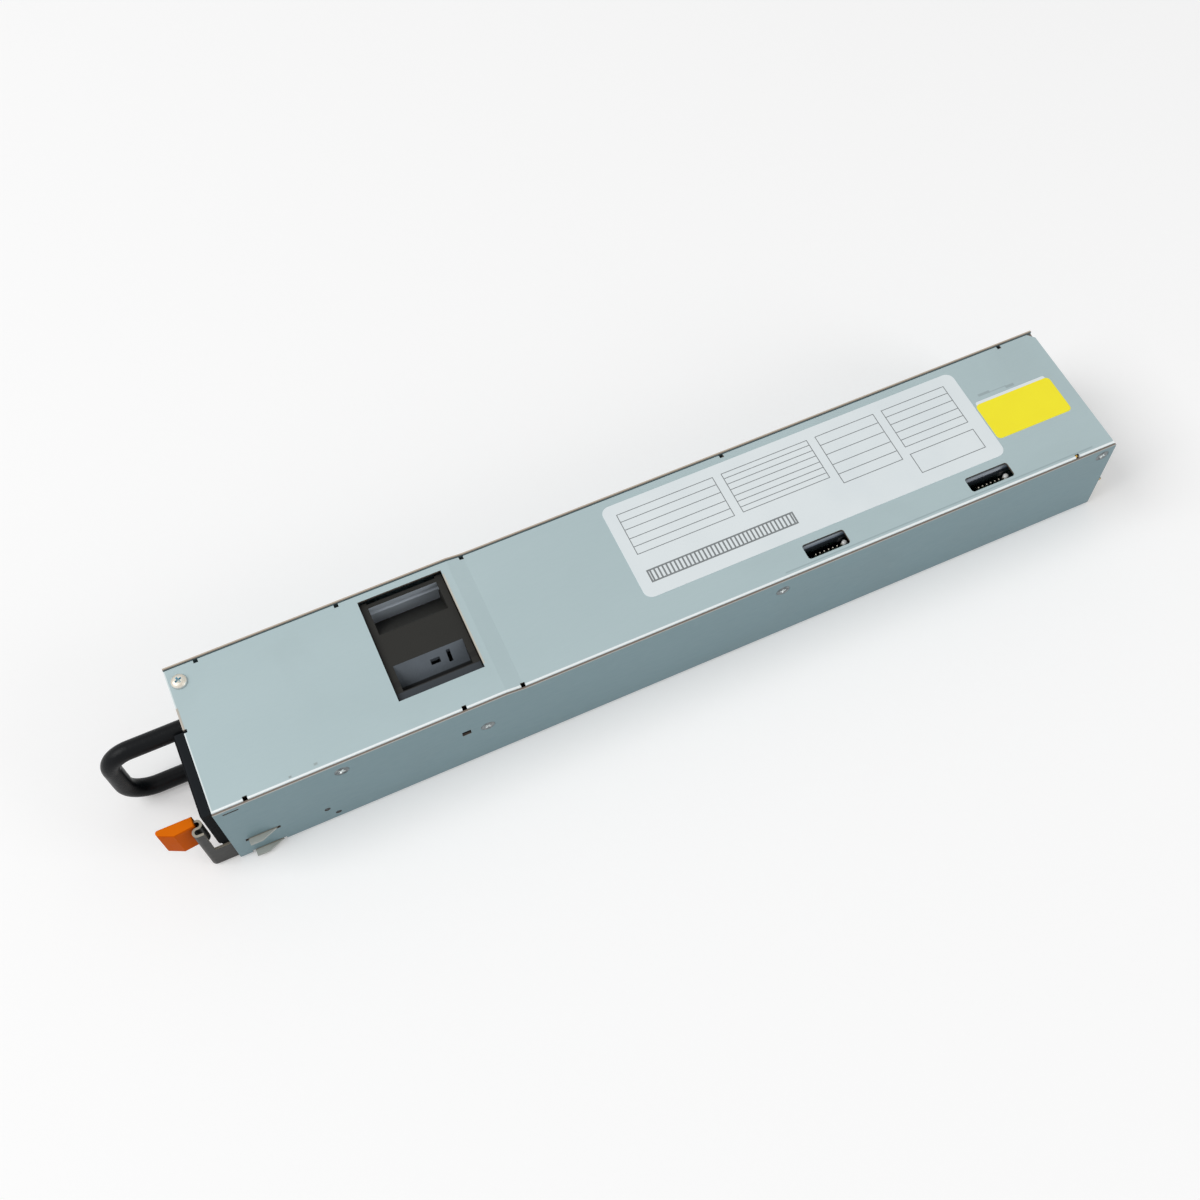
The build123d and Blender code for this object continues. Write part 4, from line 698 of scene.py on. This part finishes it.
film_low, film_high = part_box("insulating_film")
film_edge = film_low.y / MM
film_light_and_shade = [
    # Painted highlight along the near bend, painted shade on the leg below, painted light under the second
    # slot
    ((-200, film_edge + 1.0, 0), (200, film_edge + 1.7, 60), 0.3, 0.55, tone(190, 198, 202)),
    ((-200, film_edge - 1.0, 0), (200, film_edge + 0.9, 60), 0.3, 0.90, tone(16, 17, 18)),
    ((100, film_edge + 1.5, 0), (200, film_edge + 9, 60), 0.5, 0.55, tone(168, 184, 198)),
]
tree, shader = finish("smoked_film", 0.24, 0.0, Coat_Weight=0.25, Coat_Roughness=0.1)
film_clouds = cloudy(tree, 60.0, 3.0, 0.2)
film_base = blend_tones(tree, film_clouds, tone(104, 120, 136), tone(82, 98, 116))
tree.links.new(marked_places(tree, film_base, film_light_and_shade), shader.inputs["Base Color"])
tree.links.new(spread(tree, film_clouds, 0.0, 1.0, 0.18, 0.30), shader.inputs["Roughness"])
bumped(tree, shader, film_clouds, 0.0003, 0.5)
print("finishes so far:", len(finishes))

# %% [markdown]
# Every imported node names its slot in the record, so one loop hands out the finishes. A few nodes get a
# sibling of their slot's finish. The end panels and the fan's bracket are the same steel as the walls but
# stand across the case, the rivets are painted darker than it as painted shade, and the main board lies
# flat.

# %% Give every node its finish
siblings = {
    "latch_rivets": "rivet_painted_shade",
    "front_grille": "panel_steel",
    "rear_panel": "panel_steel",
    "fan_bracket": "panel_steel",
    "main_board": "green_board_flat",
}
for node, obj in frame["nodes"].items():
    obj.data.materials.clear()
    obj.data.materials.append(finishes[siblings.get(node, slots[node])])
print("nodes dressed:", len(frame["nodes"]), "with a sibling finish:", len(siblings))

# %% [markdown]
# New pieces are meshes, made in place in metres, so their objects stay at the origin. These
# helpers turn a bmesh into a closed mesh, and a mesh into an object that rides on a body. Plates,
# pins and the like are rings of points, so one helper joins the rings and closes both ends.

# %% Helpers for pieces
same_point = 1e-6


def object_from(mesh, name, body, slot):
    """Puts a finished mesh into the scene, on a body, with the finish of a slot."""
    obj = bpy.data.objects.new(name, mesh)
    bpy.context.scene.collection.objects.link(obj)
    if not mesh.materials:
        mesh.materials.append(finishes[slot])
    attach(obj, body)
    return obj if slot in slots.values() else obj


def closed_mesh(name, bm):
    """A mesh from a bmesh, with doubles merged and the faces turned outwards."""
    bmesh.ops.remove_doubles(bm, verts=bm.verts, dist=same_point)
    bmesh.ops.recalc_face_normals(bm, faces=bm.faces)
    mesh = bpy.data.meshes.new(name)
    bm.to_mesh(mesh)
    bm.free()
    return mesh


def skinned(name, rings):
    """A closed mesh from rings of points, each joined to the next, with both ends closed."""
    bm = bmesh.new()
    made = [[bm.verts.new(point) for point in ring] for ring in rings]
    for lower, upper in zip(made, made[1:]):
        for step in range(len(lower)):
            after = (step + 1) % len(lower)
            bm.faces.new((lower[step], lower[after], upper[after], upper[step]))
    bm.faces.new(made[-1])
    bm.faces.new(list(reversed(made[0])))
    return closed_mesh(name, bm)


def baked(obj):
    """The mesh of an object after its modifiers. The object itself is removed."""
    bpy.context.view_layer.update()
    ready = obj.evaluated_get(bpy.context.evaluated_depsgraph_get())
    mesh = bpy.data.meshes.new_from_object(ready)
    bpy.data.objects.remove(obj)
    return mesh


print("piece helpers ready")

# %% [markdown]
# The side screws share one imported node, yet each needs a new head of its own. Their places come
# from a merged copy of the node's mesh: from any corner, the edges lead to all corners of the same
# screw, and a box round those is the screw's box.

# %% Boxes of a node's separate solids


def islands(node):
    """The boxes of a node's separate solids, as pairs of corners."""
    bm = bmesh.new()
    bm.from_mesh(frame["nodes"][node].data)
    bmesh.ops.remove_doubles(bm, verts=bm.verts, dist=same_point)
    waiting = set(bm.verts)
    boxes = []
    while waiting:
        group, edge = set(), [waiting.pop()]
        while edge:
            vert = edge.pop()
            group.add(vert)
            reached = {e.other_vert(vert) for e in vert.link_edges} & waiting
            waiting -= reached
            edge.extend(reached)
        low = Vector(min(v.co[i] for v in group) for i in range(3))
        high = Vector(max(v.co[i] for v in group) for i in range(3))
        boxes.append((low, high))
    bm.free()
    return sorted(boxes, key=lambda box: tuple(box[0]))


screw_boxes = islands("side_screws")
print("side screws found:", len(screw_boxes))

# %% [markdown]
# A cross-recess screw head is a turned disc with a tapered cross pressed into it. The disc is a
# profile turned round its axis; the cross is a twelve-cornered star that narrows downwards, and
# a Boolean modifier takes it away. The same helper makes the flush heads and the raised one.

# %% Screw head with a cross recess


def lathe(name, profile, steps):
    """A solid from (radius, height) pairs turned round Z. The first and last pair lie on the axis."""
    bm = bmesh.new()
    rings = []
    for radius, height in profile:
        if radius == 0:
            rings.append([bm.verts.new((0, 0, height))])
            continue
        angles = [2 * math.pi * step / steps for step in range(steps)]
        rings.append([bm.verts.new((radius * math.cos(a), radius * math.sin(a), height)) for a in angles])
    for lower, upper in zip(rings, rings[1:]):
        for step in range(steps):
            after = (step + 1) % steps
            corners = [lower[step % len(lower)], lower[after % len(lower)]]
            corners += [upper[after % len(upper)], upper[step % len(upper)]]
            bm.faces.new(list(dict.fromkeys(corners)))
    return closed_mesh(name, bm)


def cross_star(name, reach, arm, top, bottom, taper):
    """A cross-shaped plug that narrows downwards."""
    outline = [(reach, arm), (arm, arm), (arm, reach), (-arm, reach), (-arm, arm), (-reach, arm)]
    outline += [(-x, -y) for x, y in outline]
    upper = [(x, y, top) for x, y in outline]
    lower = [(x * taper, y * taper, bottom) for x, y in outline]
    return skinned(name, [upper, lower])


def recessed_head(name, profile, reach, arm, depth, steps=40):
    """A turned head with the cross cut into its top."""
    recess_taper = 0.45
    top = max(height for radius, height in profile)
    head = bpy.data.objects.new(name, lathe(name, profile, steps))
    star = cross_star(name + "_cutter", reach, arm, top + depth, top - depth, recess_taper)
    cutter = bpy.data.objects.new(name + "_cutter", star)
    for obj in (head, cutter):
        bpy.context.scene.collection.objects.link(obj)
    cut = head.modifiers.new("recess", "BOOLEAN")
    cut.operation = "DIFFERENCE"
    cut.object = cutter
    cut.solver = "EXACT"
    mesh = baked(head)
    bpy.data.objects.remove(cutter)
    return mesh


first_low, first_high = screw_boxes[0]
head_radius = (first_high.z - first_low.z) / 2
# Radius as a share of the head's, and height in millimetres
head_profile = [(0, -0.9), (0.62, -0.9), (0.97, -0.28), (1.0, -0.12), (0.93, 0.0), (0, 0.0)]
flush_profile = [(radius * head_radius, height * MM) for radius, height in head_profile]
flush_head = recessed_head("flush_head", flush_profile, 0.62 * head_radius, 0.17 * head_radius, 0.8 * MM)
print("flush head radius in mm:", round(head_radius / MM, 2), "faces:", len(flush_head.polygons))

# %% [markdown]
# Seven equal screws sit in the walls. Geometry Nodes repeat them: each point of a small mesh
# carries a turn, the tree puts one head on each point, makes the copies real and gives them
# their finish. The result becomes a plain mesh, since the exporter drops instances.

# %% Geometry Nodes: one piece on many points
repeats = bpy.data.node_groups.new("piece_on_points", "GeometryNodeTree")
repeats.is_modifier = True
repeat_inputs = (
    ("Points", "NodeSocketGeometry"),
    ("Piece", "NodeSocketObject"),
    ("Size", NUMBER),
    ("Finish", "NodeSocketMaterial"),
)
repeat_sockets = {}
for label, kind in repeat_inputs:
    socket = repeats.interface.new_socket(name=label, in_out="INPUT", socket_type=kind)
    repeat_sockets[label] = socket.identifier
repeats.interface.new_socket(name="Geometry", in_out="OUTPUT", socket_type="NodeSocketGeometry")
given = put(repeats, "NodeGroupInput").outputs
piece_info = put(repeats, "GeometryNodeObjectInfo", {"Object": given["Piece"]})
point_turn = put(repeats, "GeometryNodeInputNamedAttribute", {"Name": "turn"}, data_type="FLOAT_VECTOR")
copy_feeds = {
    "Points": given["Points"],
    "Instance": piece_info.outputs["Geometry"],
    "Rotation": point_turn.outputs[0],
    "Scale": given["Size"],
}
copies = put(repeats, "GeometryNodeInstanceOnPoints", copy_feeds)
real_copies = put(repeats, "GeometryNodeRealizeInstances", {0: copies.outputs[0]})
finish_feeds = {"Geometry": real_copies.outputs[0], "Material": given["Finish"]}
coloured = put(repeats, "GeometryNodeSetMaterial", finish_feeds)
put(repeats, "NodeGroupOutput", {0: coloured.outputs[0]})
print("inputs of the tree:", repeat_sockets)

# %% Helper: a repeated piece


def repeated(name, piece_mesh, places, turns, slot, size=1.0, sibling=None):
    """One mesh with the piece at every place, each turned by its own angles."""
    points = bpy.data.meshes.new(name + "_points")
    points.from_pydata([tuple(place) for place in places], [], [])
    turn = points.attributes.new("turn", "FLOAT_VECTOR", "POINT")
    turn.data.foreach_set("vector", [value for angles in turns for value in angles])
    carrier = bpy.data.objects.new(name + "_points", points)
    sample = bpy.data.objects.new(name + "_sample", piece_mesh)
    for obj in (carrier, sample):
        bpy.context.scene.collection.objects.link(obj)
    nodes = carrier.modifiers.new("repeat", "NODES")
    nodes.node_group = repeats
    nodes[repeat_sockets["Piece"]] = sample
    nodes[repeat_sockets["Size"]] = size
    nodes[repeat_sockets["Finish"]] = finishes[sibling or slot]
    mesh = baked(carrier)
    bpy.data.objects.remove(sample)
    return object_from(mesh, name, "housing", slot)


print("repeat helper ready")

# %% Wall screws
head_sink = 0.05 * MM
first_turn, turn_step = 0.5, 0.9
screw_places = []
screw_turns = []
for index, (low, high) in enumerate(screw_boxes):
    side = -1 if low.y < 0 else 1
    face = low.y if side < 0 else high.y
    screw_places.append(((low.x + high.x) / 2, face - side * head_sink, (low.z + high.z) / 2))
    screw_turns.append((-side * math.pi / 2, first_turn + turn_step * index, 0.0))
wall_screws = repeated(
    "wall_screws", flush_head, screw_places, screw_turns, "screw_zinc", sibling="wall_screw_zinc"
)
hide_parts("side_screws")
print("wall screws:", len(screw_places), "faces:", len(wall_screws.data.polygons))

# %% [markdown]
# One raised screw holds the cover at the front. Its head is a low, nearly flat dome with a
# larger cross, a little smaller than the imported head, and it keeps its left edge where that has it.

# %% Roof screw
roof_radius = 0.87 * (roof_high.x - roof_low.x) / 2
roof_x = roof_low.x + roof_radius
roof_y = (roof_low.y + roof_high.y) / 2
shank_radius = 0.45 * roof_radius
under_head = roof_high.z - 1.6 * MM
rim_radius = 0.96 * roof_radius
dome = [(0, roof_low.z), (shank_radius, roof_low.z), (shank_radius, under_head), (rim_radius, under_head)]
# Radius as a share of the head's, and how far below the top in millimetres
dome_curve = [(1.0, 1.45), (0.985, 1.15), (0.93, 0.80), (0.86, 0.60)]
dome_curve += [(0.70, 0.25), (0.56, 0.06), (0.45, 0.0)]
dome += [(share * roof_radius, roof_high.z - below * MM) for share, below in dome_curve]
dome.append((0, roof_high.z))
roof_mesh = recessed_head("roof_screw", dome, 0.60 * roof_radius, 0.16 * roof_radius, 0.9 * MM, 56)
roof_turn = 0.35
roof_mesh.transform(Matrix.Translation((roof_x, roof_y, 0)) @ Matrix.Rotation(roof_turn, 4, "Z"))
roof_mesh.materials.clear()
roof_mesh.materials.append(finishes["roof_screw_zinc"])
roof_screw = object_from(roof_mesh, "roof_screw", "housing", "screw_zinc")
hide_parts("top_screw")
print("roof screw faces:", len(roof_mesh.polygons))

# %% [markdown]
# A large white label and a small yellow one lie on the cover. What the real ones say is left
# off. The white one keeps empty ruled fields, the way a blank form has them, and a row of plain
# bars. A label is a thin plate with round corners, so that its edge catches the light; its lines
# are drawn by the material from the place on the object.

# %% Helper: a thin plate with round corners


def rounded_plate(name, span, z0, z1, radius, soften, steps=6):
    """A plate with a softened upper edge, in millimetres. Its span is x0, x1, y0, y1."""
    x0, x1, y0, y1 = span
    rings = []
    for inset, height in ((0.0, z0), (0.0, z1 - soften), (soften, z1)):
        reach = radius - inset
        ring = []
        for corner_x, corner_y, first in ((x1, y1, 0), (x0, y1, 1), (x0, y0, 2), (x1, y0, 3)):
            middle_x = corner_x - math.copysign(radius, corner_x - (x0 + x1) / 2)
            middle_y = corner_y - math.copysign(radius, corner_y - (y0 + y1) / 2)
            for step in range(steps + 1):
                angle = (first + step / steps) * math.pi / 2
                x, y = middle_x + reach * math.cos(angle), middle_y + reach * math.sin(angle)
                ring.append((x, y, height))
        rings.append(ring)
    return skinned(name, [[Vector(point) * MM for point in ring] for ring in rings])


print("plate helper ready")

# %% [markdown]
# A ruled field is a rectangle with a border and evenly spaced rules. The distances from its
# middle, less its half size, say how far inside the border a point is. The remainder of that
# distance over the pitch says how far the point is past the last rule.

# %% Shared effect: a ruled field
field_inputs = [
    ("Middle", TRIPLE, (0.0, 0.0, 0.0)),
    ("Half Size", TRIPLE, (0.01, 0.01, 1.0)),
    ("Line", NUMBER, 0.0003),
    ("Pitch", NUMBER, 1.0),
    ("Upright", NUMBER, 0.0),
]
ruled_field, given, gives = effect("ruled_field", field_inputs, ["Mask"])
from_middle = sum_up_vectors(ruled_field, "SUBTRACT", object_place(ruled_field), given["Middle"])
away = sum_up_vectors(ruled_field, "ABSOLUTE", from_middle)
past = axes_of(ruled_field, sum_up_vectors(ruled_field, "SUBTRACT", away, given["Half Size"]))
past_edge = sum_up(ruled_field, "MAXIMUM", past["X"], past["Y"])
inside = sum_up(ruled_field, "LESS_THAN", past_edge, 0.0)
line_inside = times(ruled_field, given["Line"], -1.0)
on_border = sum_up(ruled_field, "GREATER_THAN", past_edge, line_inside)
lying = sum_up(ruled_field, "SUBTRACT", 1.0, given["Upright"])
lying_way = times(ruled_field, past["Y"], lying)
rule_way = sum_up(ruled_field, "ADD", lying_way, times(ruled_field, past["X"], given["Upright"]))
rule_share = sum_up(ruled_field, "FRACT", sum_up(ruled_field, "DIVIDE", rule_way, given["Pitch"]))
line_share = sum_up(ruled_field, "DIVIDE", given["Line"], given["Pitch"])
on_rule = sum_up(ruled_field, "LESS_THAN", rule_share, line_share)
drawn = sum_up(ruled_field, "MAXIMUM", on_border, on_rule)
ruled_field.links.new(times(ruled_field, inside, drawn), gives["Mask"])
print("group:", ruled_field.name)

# %% Finish: the white label
# Each field: its span along the case and across it, the pitch and width of its rules, all in
# millimetres, and 1 for rules that run across the label
fields = [
    (-6.0, 30.0, 2.0, 19.0, 3.4, 0.3, 0.0),
    (-6.0, 48.0, -9.5, -4.5, 1.475, 0.6, 1.0),
    (33.0, 66.0, 2.0, 19.0, 2.43, 0.3, 0.0),
    (69.0, 92.0, -2.0, 19.0, 4.2, 0.3, 0.0),
    (95.0, 120.0, 2.0, 19.0, 3.4, 0.3, 0.0),
    (95.0, 120.0, -9.5, -1.0, 20.0, 0.3, 0.0),
]
label_gloss = {"Specular_IOR_Level": 0.4, "Coat_Weight": 0.12, "Coat_Roughness": 0.2}
tree, shader = finish("label_white", 0.38, 0.0, **label_gloss)
ink = 0.0
for x0, x1, y0, y1, pitch, line, upright in fields:
    field_feeds = {
        "Middle": ((x0 + x1) / 2 * MM, (y0 + y1) / 2 * MM, 0.0),
        "Half Size": ((x1 - x0) / 2 * MM, (y1 - y0) / 2 * MM, 1.0),
        "Line": line * MM,
        "Pitch": pitch * MM,
        "Upright": upright,
    }
    ink = sum_up(tree, "MAXIMUM", ink, use(tree, ruled_field, field_feeds)["Mask"])
paper_base = blend_tones(tree, cloudy(tree, 45.0, 3.0, 0.25), tone(232, 239, 241), tone(225, 233, 236))
inked = blend_tones(tree, times(tree, ink, 0.85), paper_base, tone(92, 96, 98))
tree.links.new(inked, shader.inputs["Base Color"])
bumped(tree, shader, cloudy(tree, 1800.0, 2.0, 0.2), 0.000006, 0.5)
print("fields on the label:", len(fields))

# %% Finish: the yellow label
tree, shader = finish("label_yellow", 0.36, 0.0, **label_gloss)
yellow_base = blend_tones(tree, cloudy(tree, 70.0, 3.0, 0.25), tone(255, 243, 30), tone(251, 236, 26))
tree.links.new(yellow_base, shader.inputs["Base Color"])
print("label finishes ready")

# %% Put the labels on the cover
cover_z = 37.2
label_foot = cover_z - 0.02
label_top = cover_z + 0.14
backing_top = cover_z + 0.07
white_span = (-10.2, 125.2, -14.5, 23.2)
yellow_span = (125.7, 155.3, -8.5, 7.1)
backing_span = (126.3, 154.1, 4.0, 8.2)
white_mesh = rounded_plate("white_label", white_span, label_foot, label_top, 3.0, 0.08)
white_label = object_from(white_mesh, "white_label", "housing", "label_white")
yellow_mesh = rounded_plate("yellow_label", yellow_span, label_foot, label_top, 1.6, 0.08)
yellow_label = object_from(yellow_mesh, "yellow_label", "housing", "label_yellow")
backing_mesh = rounded_plate("label_backing", backing_span, label_foot, backing_top, 0.8, 0.04)
label_backing = object_from(backing_mesh, "label_backing", "housing", "label_white")
print("labels:", white_label.name, yellow_label.name, label_backing.name)

# %% [markdown]
# Through the two slots shows a blue-grey insulating film. Its near edge is folded down only a
# little there, so that the dark inside shows below it. A folded sheet is drawn as its cross
# section: the middle line is moved out to both sides by half the thickness, then extruded.

# %% Helper: a folded sheet


def folded_sheet(name, path, thick, x0, x1):
    """A sheet along X from the (y, z) middle line of its section."""
    sides = []
    for way in (0.5, -0.5):
        side = []
        for index, point in enumerate(path):
            before, after = path[max(index - 1, 0)], path[min(index + 1, len(path) - 1)]
            along = (Vector(after) - Vector(before)).normalized()
            side.append((point[0] - way * thick * along.y, point[1] + way * thick * along.x))
        sides.append(side)
    section = sides[0] + list(reversed(sides[1]))
    bm = bmesh.new()
    ends = [[bm.verts.new((x, y, z)) for y, z in section] for x in (x0, x1)]
    count = len(section)
    for step in range(count):
        after = (step + 1) % count
        bm.faces.new((ends[0][step], ends[0][after], ends[1][after], ends[1][step]))
    for end in ends:
        for step in range(len(path) - 1):
            bm.faces.new((end[step], end[step + 1], end[count - 2 - step], end[count - 1 - step]))
    return closed_mesh(name, bm)


print("sheet helper ready")

# %% Insulating film
film_thick, film_bend, near_leg = 0.3 * MM, 2.4 * MM, 3.4 * MM
bend_steps = 8
film_y0 = film_low.y + film_thick / 2
film_y1 = film_high.y - film_thick / 2
film_z = film_high.z - film_thick / 2
film_path = [(film_y0, film_z - near_leg)]
for corner_y, way, first in ((film_y0, 1, math.pi), (film_y1, -1, math.pi / 2)):
    for step in range(bend_steps + 1):
        angle = first - step / bend_steps * math.pi / 2
        bend_y = corner_y + way * film_bend + film_bend * math.cos(angle)
        film_path.append((bend_y, film_z - film_bend + film_bend * math.sin(angle)))
film_path.append((film_y1, film_low.z))
film_mesh = folded_sheet("folded_film", film_path, film_thick, film_low.x, film_high.x)
film = object_from(film_mesh, "folded_film", "housing", "smoked_film")
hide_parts("insulating_film")
flat_width = sum((Vector(b) - Vector(a)).length for a, b in zip(film_path, film_path[1:]))
print("film laid flat in mm:", round((film_high.x - film_low.x) / MM, 1), round(flat_width / MM, 1))

# %% [markdown]
# Under each slot, on the control board's upper edge, stands a header with a row of tinned pins
# and a white post. Pins repeat at one pitch, so the same Geometry Nodes tree places them.

# %% Parts of a header


def tapered_box(name, half_x, half_y, height, tip):
    """A box on the origin's plane, in metres, whose upper end is drawn in."""
    loops = []
    for share, level in ((1.0, 0.0), (1.0, height - tip), (0.55, height)):
        loops.append([(x * half_x * share, y * half_y * share, level) for x, y in square_corners])
    return skinned(name, loops)


pin_mesh = tapered_box("header_pin", 0.32 * MM, 0.32 * MM, 4.4 * MM, 0.5 * MM)
body_mesh = tapered_box("header_body", 6.6 * MM, 0.55 * MM, 1.9 * MM, 0.25 * MM)
# Radius and height of the post in millimetres
post_profile = [(0, 0), (0.7, 0), (0.7, 2.6), (0.95, 2.9), (0.95, 4.6), (0.8, 5.1), (0.45, 5.35), (0, 5.4)]
post_mesh = lathe("header_post", [(radius * MM, height * MM) for radius, height in post_profile], 20)
print("faces of pin, body and post:", [len(mesh.polygons) for mesh in (pin_mesh, body_mesh, post_mesh)])

# %% Headers under the slots
board_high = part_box("control_board")[1]
header_y = board_high.y + 0.55 * MM
header_z = board_high.z - 1.6 * MM
slot_middles = (53.6 * MM, 116.1 * MM)
pin_pitch, pin_lift = 1.6 * MM, 0.3 * MM
pins_each = 7
pin_steps = [step - pins_each // 2 for step in range(pins_each)]
pin_xs = [x + step * pin_pitch for x in slot_middles for step in pin_steps]
pin_places = [(pin_x, header_y, header_z + pin_lift) for pin_x in pin_xs]
unturned = [(0, 0, 0)] * len(pin_places)
header_pins = repeated("header_pins", pin_mesh, pin_places, unturned, "tinned_pin")
body_places = [(x, header_y, header_z) for x in slot_middles]
header_bodies = repeated("header_bodies", body_mesh, body_places, [(0, 0, 0)] * 2, "black_moulding")
post_places = [(x + 6.0 * MM, header_y + 0.1 * MM, header_z) for x in slot_middles]
header_posts = repeated("header_posts", post_mesh, post_places, [(0, 0, 0.3)] * 2, "nylon_white")
header_pieces = (header_pins, header_bodies, header_posts)
print("pins:", len(pin_places), "pieces:", [piece.name for piece in header_pieces])
